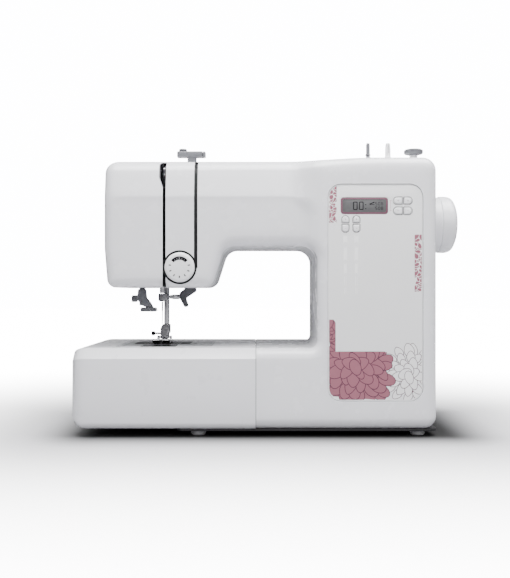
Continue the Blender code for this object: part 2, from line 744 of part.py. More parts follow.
# ---------------------------------------------------------------- panel, keys and dial
def key_outlines():
    """Limits of the eight keys and which of their sides is the round one."""
    right = [((122.8, 131.1), "left"), ((133.0, 140.6), "right")]
    lower = [((71.0, 77.5), "left"), ((82.1, 88.5), "right")]
    keys = []
    for z in ((233.7, 240.2), (223.5, 230.2)):
        keys += [(x, z, side) for x, side in right]
    for z in ((215.3, 221.4), (205.8, 212.9)):
        keys += [(x, z, side) for x, side in lower]
    return keys


def key_shape(x, z, side, grow, span):
    """A D-shaped key or its hole, grown evenly, with its round side to the left or right."""
    x = (x[0] - grow, x[1] + grow)
    z = (z[0] - grow, z[1] + grow)
    wide = 0.42 * (z[1] - z[0])
    left, right = (wide, 0.8) if side == "left" else (0.8, wide)
    corners = [(x[0], z[0], left), (x[1], z[0], right), (x[1], z[1], right), (x[0], z[1], left)]
    return flat("front", rounded(corners), span)


def control_panel():
    panel = slab("front", PANEL_X, PANEL_Z, 13, (PANEL_FRONT, PANEL_BACK))
    for x in (PANEL_X[0] + 8, PANEL_X[1] - 8):
        for z in (PANEL_Z[0] + 14, PANEL_Z[1] - 14):
            fuse(panel, rod("Y", (x, z), 3, (PANEL_BACK - 1, -77 - GAP), sides=10))
    cut(panel, slab("front", (69.4, 117.1), (223.4, 240.5), 3, (-90, -80)))
    for x, z, side in key_outlines():
        cut(panel, key_shape(x, z, side, GAP, (-90, -80)))
    piece("control_panel", panel, PANEL_GREY)
    piece("display", slab("front", (69.7, 116.8), (223.7, 240.2), 2.8, (-85, -79)), GLASS)
    piece("circuit_board", box((60, 150), (-77, -75.4), (45, 245)), BOARD)


def keys():
    for number, (x, z, side) in enumerate(key_outlines(), 1):
        key = piece(f"key_{number}", key_shape(x, z, side, 0, (-85.9, -79.5)), WHITE)
        joint(f"key_{number}_pivot", (sum(x) / 2, -85.9, sum(z) / 2), key)


def tension_dial():
    rim = [(0, 81), (12.5, 81), (15.4, 79.5), (15.4, 72.5), (0, 72.5)]
    dial = turned("Y", (DIAL_X, DIAL_Z), [(radius, -depth) for radius, depth in reversed(rim)], 32)
    dial = piece("tension_dial", dial, WHITE)
    joint("dial_pivot", (DIAL_X, -77, DIAL_Z), dial)


# ---------------------------------------------------------------- on top, behind and at the sides
def thread_guide():
    plate = slab("top", (-99.7, -69), (-34, -22), 3, (290, 296))
    fuse(
        plate,
        slab("top", (-88.5, -79), (-33, -23), 2, (BODY_TOP + GAP, 291)),
        rod("Z", (-93.5, -28), 4.3, (295, 299), sides=16),
    )
    piece("thread_guide", plate, TRIM_GREY)


def spool_pin():
    hinge = 289.3
    pin = rod("Z", (SPOOL_X, TOP_PIN_Y), 2.2, (hinge, TALLEST), sides=14)
    fuse(pin, rod("Y", (SPOOL_X, hinge), 3, (TOP_PIN_Y - 3.4, TOP_PIN_Y + 3.4), sides=16))
    pin = piece("spool_pin", pin, TRIM_GREY)
    joint("spool_pin_pivot", (SPOOL_X, TOP_PIN_Y, hinge), pin)


def bobbin_winder():
    carriage = box((115, 140), (-30, -10), (268, 271.7))
    carriage = piece("winder_carriage", carriage, TRIM_GREY)
    carrier = joint("winder_carriage_pivot", (WINDER_X, TOP_PIN_Y, 270), carriage)
    profile = [(0, TALLEST), (2.4, TALLEST), (3, 300), (3, 292), (4.2, 288), (4.2, 284.6), (3, 284.6)]
    profile += [(3, 272), (0, 272)]
    spindle = turned("Z", (WINDER_X, TOP_PIN_Y), profile, sides=16)
    spindle = piece("bobbin_winder", spindle, WHITE)
    joint("winder_pivot", (WINDER_X, TOP_PIN_Y, 272), spindle, carrier=carrier)
    stop = [(0, 297), (9, 297), (10, 296), (10, 293), (9, 292), (4, 292), (4, 284.3), (0, 284.3)]
    piece("winder_stop", turned("Z", (152.3, -36), stop, sides=24), TRIM_GREY)


def handle():
    grip = slab("side", (29, 41), (270, 282), 4, (HANDLE_X[0] + 1, HANDLE_X[1] - 1))
    for low, outer in ((HANDLE_X[0], -66.8), (HANDLE_X[1] - 8, 76.8)):
        arm = slab("side", (-4, 41), (273, 281), 3.9, (low, low + 8))
        fuse(grip, arm, rod("X", HANDLE_PIVOT, 2.5, (min(outer, low + 4), max(outer, low + 4)), 12))
    grip = piece("handle", grip, WHITE)
    joint("handle_pivot", (5, *HANDLE_PIVOT), grip)


def side_fittings():
    cutter = box((-174, HEAD_LEFT - GAP), (-20, -5), (168.2, 181.8))
    cut(cutter, box((-173, -171.8), (-22, -12), (172, 178)))
    piece("thread_cutter", cutter, TRIM_GREY)
    lamp = box((-104, -97.5), (-36, -26), (151, 158))
    fuse(lamp, box((-98, -94), (-36, -26), (153, 158)))
    piece("led_lamp", lamp, LENS)
    rocker = piece("power_switch", slab("front", (162, 171.2), (42.5, 61.5), 1, (0, 12)), BLACK)
    joint("power_pivot", (167, 6, 52), rocker)
    socket = box((150, 170.1), (16, 36), (40, 62))
    cut(socket, box((153, 175), (19, 33), (43, 59)))
    for y in (23, 29):
        fuse(socket, rod("X", (y, 51), 1.2, (152, 166), sides=10))
    piece("socket_block", socket, BLACK)


# ---------------------------------------------------------------- assembly
front_cover()
rear_cover()
face_cover()
bottom_plate()
feet()
free_arm_cover()
needle_plate()
bobbin_cover()
bed_attachment()
frame_casting()
crank = drive()
needle_link(crank)
take_up_lever()
belts()
motor()
lower_shaft()
hook_group()
needle_group()
presser_group()
presser_lever()
needle_threader()
feed_group()
control_panel()
keys()
tension_dial()
thread_guide()
spool_pin()
bobbin_winder()
handle()
side_fittings()
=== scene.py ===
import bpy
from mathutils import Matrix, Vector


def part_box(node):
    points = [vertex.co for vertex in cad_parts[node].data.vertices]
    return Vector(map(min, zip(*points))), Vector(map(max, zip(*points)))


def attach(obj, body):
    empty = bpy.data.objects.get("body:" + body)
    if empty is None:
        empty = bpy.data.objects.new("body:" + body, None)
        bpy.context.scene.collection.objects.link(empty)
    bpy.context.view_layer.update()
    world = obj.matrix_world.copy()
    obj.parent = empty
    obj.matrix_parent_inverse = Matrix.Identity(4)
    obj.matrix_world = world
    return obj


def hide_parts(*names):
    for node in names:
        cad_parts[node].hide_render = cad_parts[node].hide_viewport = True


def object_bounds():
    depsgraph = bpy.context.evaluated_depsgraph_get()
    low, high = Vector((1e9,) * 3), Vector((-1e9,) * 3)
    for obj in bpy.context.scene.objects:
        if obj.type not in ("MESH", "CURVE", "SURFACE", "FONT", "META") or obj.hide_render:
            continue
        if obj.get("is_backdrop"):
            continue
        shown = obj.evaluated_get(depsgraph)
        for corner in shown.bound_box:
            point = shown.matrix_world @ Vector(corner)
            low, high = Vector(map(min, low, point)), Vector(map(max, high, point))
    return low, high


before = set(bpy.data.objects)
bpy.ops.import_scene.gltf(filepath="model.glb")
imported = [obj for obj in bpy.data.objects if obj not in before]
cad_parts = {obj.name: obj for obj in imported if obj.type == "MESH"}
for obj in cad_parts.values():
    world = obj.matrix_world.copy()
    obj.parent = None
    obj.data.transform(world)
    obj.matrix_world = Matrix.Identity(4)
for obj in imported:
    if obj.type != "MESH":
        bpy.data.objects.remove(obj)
cad_box = [list(corner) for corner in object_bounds()]

import math
import random

import bmesh
import bpy
from mathutils import Matrix, Vector, geometry

MM = 0.001

# ---------------------------------------------------------------- view, table and light
# The machine stands on a pale table in a white room. A long soft box hangs over it, larger ones
# fill from the front and the left, and the camera looks level at the throat from in front.
camera_data = bpy.data.cameras.new("camera")
camera_data.lens = 48.6
camera_data.sensor_width = 36.0
camera_data.shift_y = 0.0052
camera = bpy.data.objects.new("camera", camera_data)
bpy.context.scene.collection.objects.link(camera)
camera.location = Vector((-16.2, -866.0, 145.6)) * MM
camera.rotation_euler = (math.radians(90), 0.0, 0.0)
bpy.context.scene.camera = camera


def soft_box(name, place, target, width, depth, power):
    """Hang a rectangular lamp at a place, turned to a target; sizes are in metres."""
    lamp = bpy.data.lights.new(name, "AREA")
    lamp.shape = "RECTANGLE"
    lamp.size = width
    lamp.size_y = depth
    lamp.energy = power
    holder = bpy.data.objects.new(name, lamp)
    bpy.context.scene.collection.objects.link(holder)
    holder.location = place
    aim = Vector(target) - Vector(place)
    holder.rotation_euler = aim.to_track_quat("-Z", "Y").to_euler()


soft_box("soft_box_over", (0.14, -0.22, 0.85), (0.06, -0.02, 0.2), 1.2, 0.5, 26.0)
soft_box("soft_box_front", (0.5, -2.2, 1.3), (0.05, 0.0, 0.18), 1.6, 1.0, 22.0)
soft_box("soft_box_left", (-1.6, -0.7, 0.7), (0.0, 0.0, 0.15), 0.9, 1.2, 2.5)

room = bpy.data.worlds.new("white_room")
bpy.context.scene.world = room
room.use_nodes = True
room_tree = room.node_tree
backdrop = room_tree.nodes["Background"]
backdrop.inputs["Color"].default_value = (0.96, 0.965, 1.0, 1.0)
seen = room_tree.nodes.new("ShaderNodeLightPath")
brightness = room_tree.nodes.new("ShaderNodeMapRange")
brightness.inputs["To Min"].default_value = 0.29
brightness.inputs["To Max"].default_value = 16.0
room_tree.links.new(seen.outputs["Is Camera Ray"], brightness.inputs["Value"])
room_tree.links.new(brightness.outputs["Result"], backdrop.inputs["Strength"])


def new_material(name, colour, roughness, metallic=0.0):
    """Make a Principled material and return it with its node tree's parts."""
    material = bpy.data.materials.new(name)
    material.use_nodes = True
    tree = material.node_tree
    shader = tree.nodes["Principled BSDF"]
    shader.inputs["Base Color"].default_value = (*colour, 1.0)
    shader.inputs["Roughness"].default_value = roughness
    shader.inputs["Metallic"].default_value = metallic
    return material, tree, shader


def grain(tree, scale, detail=4.0, stretch=(1.0, 1.0, 1.0)):
    """Add noise in the object's own metres; scale is in cells to a metre."""
    place = tree.nodes.new("ShaderNodeTexCoord")
    mapping = tree.nodes.new("ShaderNodeMapping")
    mapping.inputs["Scale"].default_value = stretch
    tree.links.new(place.outputs["Object"], mapping.inputs["Vector"])
    cells = tree.nodes.new("ShaderNodeTexNoise")
    cells.inputs["Scale"].default_value = scale
    cells.inputs["Detail"].default_value = detail
    tree.links.new(mapping.outputs["Vector"], cells.inputs["Vector"])
    return cells.outputs["Fac"]


def spread(tree, source, low, high):
    """Map a 0 to 1 value to a range."""
    ramp = tree.nodes.new("ShaderNodeMapRange")
    ramp.inputs["From Min"].default_value = 0.3
    ramp.inputs["From Max"].default_value = 0.7
    ramp.inputs["To Min"].default_value = low
    ramp.inputs["To Max"].default_value = high
    tree.links.new(source, ramp.inputs["Value"])
    return ramp.outputs["Result"]


def tinted(tree, shader, source, dark, light):
    """Colour a shader between two colours by a 0 to 1 value."""
    mix = tree.nodes.new("ShaderNodeMix")
    mix.data_type = "RGBA"
    mix.inputs["A"].default_value = (*dark, 1.0)
    mix.inputs["B"].default_value = (*light, 1.0)
    tree.links.new(spread(tree, source, 0.0, 1.0), mix.inputs["Factor"])
    tree.links.new(mix.outputs["Result"], shader.inputs["Base Color"])


def bumped(tree, shader, source, depth):
    """Raise a surface by a 0 to 1 value, to a depth in millimetres."""
    bump = tree.nodes.new("ShaderNodeBump")
    bump.inputs["Distance"].default_value = depth * MM
    bump.inputs["Strength"].default_value = 1.0
    tree.links.new(source, bump.inputs["Height"])
    tree.links.new(bump.outputs["Normal"], shader.inputs["Normal"])


def plastic(name, colour, roughness, texture=0.004, coat=0.0):
    """Moulded plastic: a faint drift of colour, and the fine grain of the mould."""
    material, tree, shader = new_material(name, colour, roughness)
    dark = tuple(channel * 0.97 for channel in colour)
    tinted(tree, shader, grain(tree, 14.0), dark, colour)
    fine = grain(tree, 1600.0, 2.0)
    bumped(tree, shader, fine, texture)
    rough = spread(tree, grain(tree, 60.0), roughness * 0.88, roughness * 1.12)
    tree.links.new(rough, shader.inputs["Roughness"])
    shader.inputs["Coat Weight"].default_value = coat
    shader.inputs["Coat Roughness"].default_value = 0.12
    return material


def metal(name, colour, roughness, stretch=(1.0, 1.0, 0.04), texture=0.003):
    """Ground or plated metal, with fine lines along the way it was worked."""
    material, tree, shader = new_material(name, colour, roughness, 1.0)
    dark = tuple(channel * 0.9 for channel in colour)
    lines = grain(tree, 2200.0, 3.0, stretch)
    tinted(tree, shader, lines, dark, colour)
    bumped(tree, shader, lines, texture)
    rough = spread(tree, grain(tree, 90.0), roughness * 0.8, roughness * 1.25)
    tree.links.new(rough, shader.inputs["Roughness"])
    return material


# The table glows more the further it lies from the machine, as painted light seen only from the
# camera, so it meets the white room with no horizon; a painted shadow makes it darkest right under
# the machine's body.
TABLE_SHADOW = (0.178, 0.072, 0.0)
table_mesh = bpy.data.meshes.new("table")
table_body = bmesh.new()
bmesh.ops.create_grid(table_body, x_segments=8, y_segments=8, size=6.0)
table_body.to_mesh(table_mesh)
table_body.free()
table = bpy.data.objects.new("table", table_mesh)
bpy.context.scene.collection.objects.link(table)
table.location.z = -0.0002
table_finish, table_tree, table_shader = new_material("table", (0.6, 0.6, 0.61), 0.7)
table_place = table_tree.nodes.new("ShaderNodeTexCoord")
table_fold = table_tree.nodes.new("ShaderNodeVectorMath")
table_fold.operation = "ABSOLUTE"
table_edge = table_tree.nodes.new("ShaderNodeVectorMath")
table_edge.operation = "SUBTRACT"
table_edge.inputs[1].default_value = TABLE_SHADOW
table_outside = table_tree.nodes.new("ShaderNodeVectorMath")
table_outside.operation = "MAXIMUM"
table_reach = table_tree.nodes.new("ShaderNodeVectorMath")
table_reach.operation = "LENGTH"
table_glow = table_tree.nodes.new("ShaderNodeMapRange")
table_glow.interpolation_type = "SMOOTHSTEP"
table_glow.inputs["From Min"].default_value = 0.0
table_glow.inputs["From Max"].default_value = 0.62
table_glow.inputs["To Min"].default_value = 0.0
table_glow.inputs["To Max"].default_value = 16.0
table_shade = table_tree.nodes.new("ShaderNodeMapRange")
table_shade.interpolation_type = "SMOOTHSTEP"
table_shade.inputs["From Min"].default_value = 0.0
table_shade.inputs["From Max"].default_value = 0.075
table_shade.inputs["To Min"].default_value = 0.02
table_shade.inputs["To Max"].default_value = 1.0
table_tone = table_tree.nodes.new("ShaderNodeVectorMath")
table_tone.operation = "SCALE"
table_tone.inputs[0].default_value = (0.52, 0.52, 0.54)
# Painted shadow under the machine, times a faint grain of the table's own colour.
table_shadow_and_grain = table_tree.nodes.new("ShaderNodeMath")
table_shadow_and_grain.operation = "MULTIPLY"
table_seen = table_tree.nodes.new("ShaderNodeLightPath")
table_power = table_tree.nodes.new("ShaderNodeMath")
table_power.operation = "MULTIPLY"
table_tree.links.new(table_place.outputs["Object"], table_fold.inputs[0])
table_tree.links.new(table_fold.outputs["Vector"], table_edge.inputs[0])
table_tree.links.new(table_edge.outputs["Vector"], table_outside.inputs[0])
table_tree.links.new(table_outside.outputs["Vector"], table_reach.inputs[0])
table_tree.links.new(table_reach.outputs["Value"], table_glow.inputs["Value"])
table_tree.links.new(table_reach.outputs["Value"], table_shade.inputs["Value"])
table_tree.links.new(table_shade.outputs["Result"], table_shadow_and_grain.inputs[0])
table_tree.links.new(spread(table_tree, grain(table_tree, 3.0), 0.98, 1.02), table_shadow_and_grain.inputs[1])
table_tree.links.new(table_shadow_and_grain.outputs["Value"], table_tone.inputs["Scale"])
table_tree.links.new(table_tone.outputs["Vector"], table_shader.inputs["Base Color"])
table_tree.links.new(table_glow.outputs["Result"], table_power.inputs[0])
table_tree.links.new(table_seen.outputs["Is Camera Ray"], table_power.inputs[1])
table_tree.links.new(table_power.outputs["Value"], table_shader.inputs["Emission Strength"])
table_shader.inputs["Emission Color"].default_value = (1.0, 1.0, 1.0, 1.0)
table_mesh.materials.append(table_finish)
table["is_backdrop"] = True

# ---------------------------------------------------------------- front cover
# The front half of the body, from the head's thread slot round the arm, column and base. It is
# one glossy moulding of white plastic with deep round edges, screwed to the rear half at a seam.
WALL = 2.6
EDGE = 11.0
EDGE_STEPS = 6
CORNER_STEPS = 6
FACE_STEP = 6.0
CREASE_Z = 240.5
CREASE_SLOPE = 0.17
BEND_X = 14.0
BEND_RADIUS = 20.0
BODY_TOP = 284.0
ARM_FRONT = -78.0
COLUMN_FRONT = -86.0
SEAM = -12.0
SLOT = (-109.6, -106.5)
SHADE = (0.80, 0.80, 0.83)
white_plastic = plastic("white_plastic", SHADE, 0.26, 0.003, coat=0.35)
bed_plastic = plastic("bed_plastic", tuple(0.985 * channel for channel in SHADE), 0.30, 0.004, coat=0.25)
black_plastic = plastic("black_plastic", (0.008, 0.008, 0.009), 0.5)
black_plastic.node_tree.nodes["Principled BSDF"].inputs["Specular IOR Level"].default_value = 0.2


def show(name, mesh, material, body, nodes=(), smooth=40.0):
    """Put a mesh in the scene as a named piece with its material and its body."""
    part = bpy.data.objects.new(name, mesh)
    bpy.context.scene.collection.objects.link(part)
    if material is not None:
        mesh.materials.clear()
        mesh.materials.append(material)
    mesh.shade_smooth()
    mesh.set_sharp_from_angle(angle=math.radians(smooth))
    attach(part, body)
    if nodes:
        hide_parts(*nodes)
    return part


def rounded(corners, steps=CORNER_STEPS, cuts=None):
    """Turn (x, y, radius) corners, listed anticlockwise, into an outline of even arcs.

    cuts, if given, says into how many lengths the straight side after each corner is divided.
    """
    arcs = []
    for index, (x, y, radius) in enumerate(corners):
        here = Vector((x, y))
        back = (Vector(corners[index - 1][:2]) - here).normalized()
        ahead = (Vector(corners[(index + 1) % len(corners)][:2]) - here).normalized()
        half = back.angle(ahead) / 2
        radius = max(radius, 0.05)
        centre = here + (back + ahead).normalized() * radius / math.sin(half)
        spoke = here + back * radius / math.tan(half) - centre
        sweep = math.copysign(math.pi - 2 * half, -back.cross(ahead))
        turns = [Matrix.Rotation(sweep * step / steps, 2) for step in range(steps + 1)]
        arcs.append([centre + turn @ spoke for turn in turns])
    points = []
    for index, arc in enumerate(arcs):
        points += arc
        following = arcs[(index + 1) % len(arcs)][0]
        lengths = cuts[index] if cuts else 1
        points += [arc[-1].lerp(following, step / lengths) for step in range(1, lengths)]
    return points


def inset(corners, wall):
    """Move every side of an anticlockwise outline inwards."""
    result = []
    for index, (x, y, radius) in enumerate(corners):
        here = Vector((x, y))
        way_in = (here - Vector(corners[index - 1][:2])).normalized()
        way_out = (Vector(corners[(index + 1) % len(corners)][:2]) - here).normalized()
        normal_in = Vector((-way_in.y, way_in.x))
        normal_out = Vector((-way_out.y, way_out.x))
        corner = here + (normal_in + normal_out) * wall / (1 + normal_in.dot(normal_out))
        grown = radius - wall if way_in.cross(way_out) > 0 else radius + wall
        result.append((corner.x, corner.y, grown))
    return result


PLANES = {
    "front": Matrix(((1, 0, 0), (0, 0, -1), (0, 1, 0))),
    "back": Matrix(((1, 0, 0), (0, 0, 1), (0, 1, 0))),
    "top": Matrix(((1, 0, 0), (0, 1, 0), (0, 0, 1))),
    "side": Matrix(((0, 0, 1), (1, 0, 0), (0, 1, 0))),
}


def inside(spot, rim, margin):
    """Say whether a point lies inside an outline and at least a margin away from it."""
    odd = False
    for index, point in enumerate(rim):
        before = rim[index - 1]
        if (point.y > spot.y) != (before.y > spot.y):
            crossing = point.x + (spot.y - point.y) * (before.x - point.x) / (before.y - point.y)
            if spot.x < crossing:
                odd = not odd
        near, share = geometry.intersect_point_line(spot, before, point)
        near = before if share < 0 else point if share > 1 else Vector(near[:2])
        if (near - spot).length < margin:
            return False
    return odd


def pillow(plane, corners, low, high, edge=(0.0, 0.0), lift=None, cell=None, steps=EDGE_STEPS, rows=()):
    """Extrude an outline with its two rims rounded over, as one closed mesh.

    low and high are the heights of the faces along the plane's own normal, edge the radii of
    the low and high rims, and lift an optional height added to the high face at each point.
    """
    mesh = bpy.data.meshes.new("pillow")
    body = bmesh.new()
    turn = PLANES[plane]
    cuts = None
    if cell is not None:
        spans = [
            (Vector(corners[(index + 1) % len(corners)][:2]) - Vector(corner[:2])).length
            for index, corner in enumerate(corners)
        ]
        cuts = [max(1, round(span / cell)) for span in spans]
    rings = []
    for level, radius, way in ((low, edge[0], -1), (high, edge[1], 1)):
        angles = [0.0] if radius == 0 else [math.pi / 2 * step / steps for step in range(steps + 1)]
        if way < 0:
            angles = angles[::-1]
        for angle in angles:
            drop = radius * (1 - math.cos(angle))
            height = level - way * radius * (1 - math.sin(angle))
            rings.append((inset(corners, drop), height, way > 0))
    loops = []
    for ring, height, is_high in rings:
        loop = []
        for point in rounded(ring, cuts=cuts):
            grown = height + (lift(point.x, point.y) if lift and is_high else 0.0)
            loop.append(body.verts.new(turn @ Vector((point.x, point.y, grown)) * MM))
        loops.append(loop)
    for lower, upper in zip(loops, loops[1:]):
        for index in range(len(lower)):
            after = (index + 1) % len(lower)
            body.faces.new((lower[index], lower[after], upper[after], upper[index]))
    body.faces.new(loops[0][::-1])
    if cell is None:
        body.faces.new(loops[-1])
    else:
        ring, height, _ = rings[-1]
        rim = rounded(ring, cuts=cuts)
        spots = [Vector(point) for point in rim]
        xs = [point.x for point in rim]
        ys = [point.y for point in rim]
        columns = int((max(xs) - min(xs)) / cell)
        lines = [min(ys) + cell * step for step in range(1, int((max(ys) - min(ys)) / cell) + 1)]
        lines = [line for line in lines if all(abs(line - row) > cell * 0.6 for row in rows)]
        lines += list(rows)
        for line in lines:
            for column in range(1, columns + 1):
                spot = Vector((min(xs) + cell * column, line))
                if inside(spot, rim, cell * 0.35):
                    spots.append(spot)
        count = len(rim)
        outline = [(index, (index + 1) % count) for index in range(count)]
        done = geometry.delaunay_2d_cdt(spots, outline, [], 1, 0.00001)
        made = {}
        for index, spot in enumerate(done[0]):
            origin = [number for number in done[3][index] if number < count]
            if origin:
                made[index] = loops[-1][origin[0]]
            else:
                grown = height + (lift(spot.x, spot.y) if lift else 0.0)
                made[index] = body.verts.new(turn @ Vector((spot.x, spot.y, grown)) * MM)
        for triangle in done[2]:
            face = [made[index] for index in triangle]
            if len(set(face)) == 3:
                body.faces.new(face)
    bmesh.ops.remove_doubles(body, verts=body.verts, dist=0.000002)
    bmesh.ops.dissolve_degenerate(body, edges=body.edges, dist=0.000002)
    bmesh.ops.recalc_face_normals(body, faces=body.faces)
    body.to_mesh(mesh)
    body.free()
    return mesh


def carve(mesh, tools, operation="DIFFERENCE"):
    """Cut a list of meshes out of a mesh, or join them to it, and return the result."""
    work = bpy.data.objects.new("work", mesh)
    bpy.context.scene.collection.objects.link(work)
    helpers = []
    for tool in tools:
        helper = bpy.data.objects.new("helper", tool)
        bpy.context.scene.collection.objects.link(helper)
        helpers.append(helper)
        change = work.modifiers.new("carve", "BOOLEAN")
        change.operation = operation
        change.object = helper
    graph = bpy.context.evaluated_depsgraph_get()
    result = bpy.data.meshes.new_from_object(work.evaluated_get(graph))
    for thing in (work, *helpers):
        bpy.data.objects.remove(thing)
    return result


def block(x, y, z):
    """Make a plain block from its limits in millimetres, for cutting."""
    body = bmesh.new()
    bmesh.ops.create_cube(body, size=1.0)
    size = Vector((x[1] - x[0], y[1] - y[0], z[1] - z[0])) * MM
    middle = Vector((x[0] + x[1], y[0] + y[1], z[0] + z[1])) * MM / 2
    bmesh.ops.scale(body, vec=size, verts=body.verts)
    bmesh.ops.translate(body, vec=middle, verts=body.verts)
    mesh = bpy.data.meshes.new("block")
    body.to_mesh(mesh)
    body.free()
    return mesh


def lathe(along, at, profile, sides=64):
    """Turn a closed profile of (radius, height) about an axis along X, Y or Z."""
    body = bmesh.new()
    turns = {
        "X": Matrix(((0, 0, 1), (1, 0, 0), (0, 1, 0))),
        "Y": Matrix(((0, 1, 0), (0, 0, 1), (1, 0, 0))),
        "Z": Matrix.Identity(3),
    }
    centre = {"X": (0, *at), "Y": (at[0], 0, at[1]), "Z": (*at, 0)}
    rings = []
    for radius, height in profile:
        ring = []
        for side in range(1 if radius == 0 else sides):
            angle = 2 * math.pi * side / sides
            point = Vector((radius * math.cos(angle), radius * math.sin(angle), height))
            ring.append(body.verts.new((turns[along] @ point + Vector(centre[along])) * MM))
        rings.append(ring)
    pairs = list(zip(rings, rings[1:]))
    if profile[0][0] > 0 and profile[-1][0] > 0:
        pairs.append((rings[-1], rings[0]))
    for one, two in pairs:
        for side in range(sides):
            after = (side + 1) % sides
            corners = [
                one[side % len(one)], one[after % len(one)], two[after % len(two)], two[side % len(two)],
            ]
            unique = list(dict.fromkeys(corners))
            if len(unique) > 2:
                body.faces.new(unique)
    bmesh.ops.recalc_face_normals(body, faces=body.faces)
    mesh = bpy.data.meshes.new("lathe")
    body.to_mesh(mesh)
    body.free()
    return mesh


def smoothstep(low, high, value):
    """Rise smoothly from 0 to 1 between two values."""
    share = min(max((value - low) / (high - low), 0.0), 1.0)
    return share * share * (3 - 2 * share)


def front_lift(x, z):
    """How far the front face stands out from the arm's plane, in millimetres.

    The arm's face is a shallow recess under a crease that turns down beside the column.
    """
    bend = Vector((max(x - BEND_X, 0.0), max(z - CREASE_Z + BEND_RADIUS, 0.0)))
    beyond = bend.length - BEND_RADIUS
    if x < BEND_X:
        beyond = z - CREASE_Z
    elif z < CREASE_Z - BEND_RADIUS:
        beyond = x - BEND_X - BEND_RADIUS
    column = max(smoothstep(20, 52, x), smoothstep(150, 120, z))
    slope = -CREASE_SLOPE * max(z - CREASE_Z, 0.0) * (1 - column)
    outer = 0.5 + slope + column * (ARM_FRONT - COLUMN_FRONT - 0.5)
    width = 2.5 + 12.0 * column
    low = smoothstep(150, 120, z)
    return outer * max(smoothstep(0.0, width, beyond), low)


body_corners = [
    (-45, 8, 11.5),
    (170.4, 8, 12),
    (170.4, BODY_TOP, 14),
    (-170, BODY_TOP, 13),
    (-170, 190, 40),
    (-166.8, 150, 9),
    (-60, 150, 12),
    (-46.5, 192.5, 14),
    (46.7, 192.5, 15),
    (46.7, 89, 8),
    (-45, 89, 11.5),
]
whole_front = pillow(
    "front", body_corners, -SEAM, -ARM_FRONT, (0.0, EDGE), front_lift, FACE_STEP,
    rows=(CREASE_Z, CREASE_Z + 1.3, CREASE_Z + 4),
)
# The top falls away towards the front, most over the head, and the right side draws in.
HEAD_DROP = 7.6
COLUMN_DROP = 2.6
SIDE_DRAW = 4.6
for vertex in whole_front.vertices:
    x, y, z = vertex.co / MM
    forward = max(SEAM - y, 0.0) / (SEAM - COLUMN_FRONT)
    drop = HEAD_DROP - (HEAD_DROP - COLUMN_DROP) * smoothstep(10, 110, x)
    z -= drop * max(z - CREASE_Z, 0.0) / (BODY_TOP - CREASE_Z) * forward ** 1.5
    x -= SIDE_DRAW * smoothstep(60, 168, x) * max((-30 - y) / 56, 0.0) ** 1.5
    vertex.co = Vector((x, y, z)) * MM
front_hollow = pillow("front", inset(body_corners, WALL + 1.6), 4.0, 62.0)
column_corners = [
    (-60, 8, 2), (170.4, 8, 10), (170.4, BODY_TOP, 13), (46.7, BODY_TOP, 2), (46.7, 89, 8), (-60, 89, 2),
]
deep_hollow = pillow("front", inset(column_corners, 9.0), 60.0, 80.0)
left_of_base = block((-80, -15), (-100, 100), (0, 120))
head_mouth = block((-152, -96), (-40, 20), (140, 153.5))
arm_mouth = block((-20, -11), (-51, 27), (33, 84))
shaft_mouth = lathe("X", (-11, 219), [(0, 150), (9, 150), (9, 180), (0, 180)], 32)
panel_low, panel_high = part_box("control_panel")
panel_x = (panel_low[0] / MM, panel_high[0] / MM)
panel_z = (panel_low[2] / MM, panel_high[2] / MM)


def frame_of(across, up, radius, grow=0.0):
    """Corners of a round-cornered rectangle, from its limits along a plane's two directions."""
    left, right = across[0] - grow, across[1] + grow
    low, high = up[0] - grow, up[1] + grow
    return [(left, low, radius), (right, low, radius), (right, high, radius), (left, high, radius)]


panel_mouth = pillow("front", frame_of(panel_x, panel_z, 13.3, 0.3), 70, 95)
dial_low, dial_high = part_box("tension_dial")
dial_at = ((dial_low[0] + dial_high[0]) / 2 / MM, (dial_low[2] + dial_high[2]) / 2 / MM)
dial_mouth = lathe("Y", dial_at, [(0, -95), (17.2, -95), (17.2, -60), (0, -60)], 64)
guide_slot = block((-77.9, -74.3), (-95, -62), (170, 290))
winder_mouth = pillow("top", frame_of((123, 138), (-24.2, -15.8), 4.1), 270, 292)
open_floor = block((-8, 156), (-70, 10), (0, 12))
front_mesh = carve(whole_front, [
    front_hollow, deep_hollow, left_of_base, head_mouth, arm_mouth, shaft_mouth, panel_mouth,
    dial_mouth, guide_slot, winder_mouth, open_floor, block((-200, SLOT[1]), (-100, 20), (100, 300)),
])
show("front_cover_shell", front_mesh, white_plastic, "root", ["front_cover"], 32)

# ---------------------------------------------------------------- face cover
# The cover over the needle mechanism at the head's left end, unscrewed to reach the lamp. It is
# the same white plastic, and its right edge forms one side of the slot for the needle thread.
take_up_corners = [
    (-113.6, 262, 1.5), (-109.2, 250, 1), (-105, 250, 0.2), (-105, 278, 0.2), (-113.6, 278, 3),
]
take_up_mouth = pillow("front", take_up_corners, 60, 100)
face_mesh = carve(whole_front, [
    front_hollow, head_mouth, block((SLOT[0], 300), (-100, 20), (0, 276)),
    block((SLOT[1] - 0.3, 300), (-100, 20), (270, 300)), take_up_mouth,
    block((-300, 300), (-100, 20), (0, 120)),
])
show("face_cover_front", face_mesh, white_plastic, "root", ["face_cover"], 32)

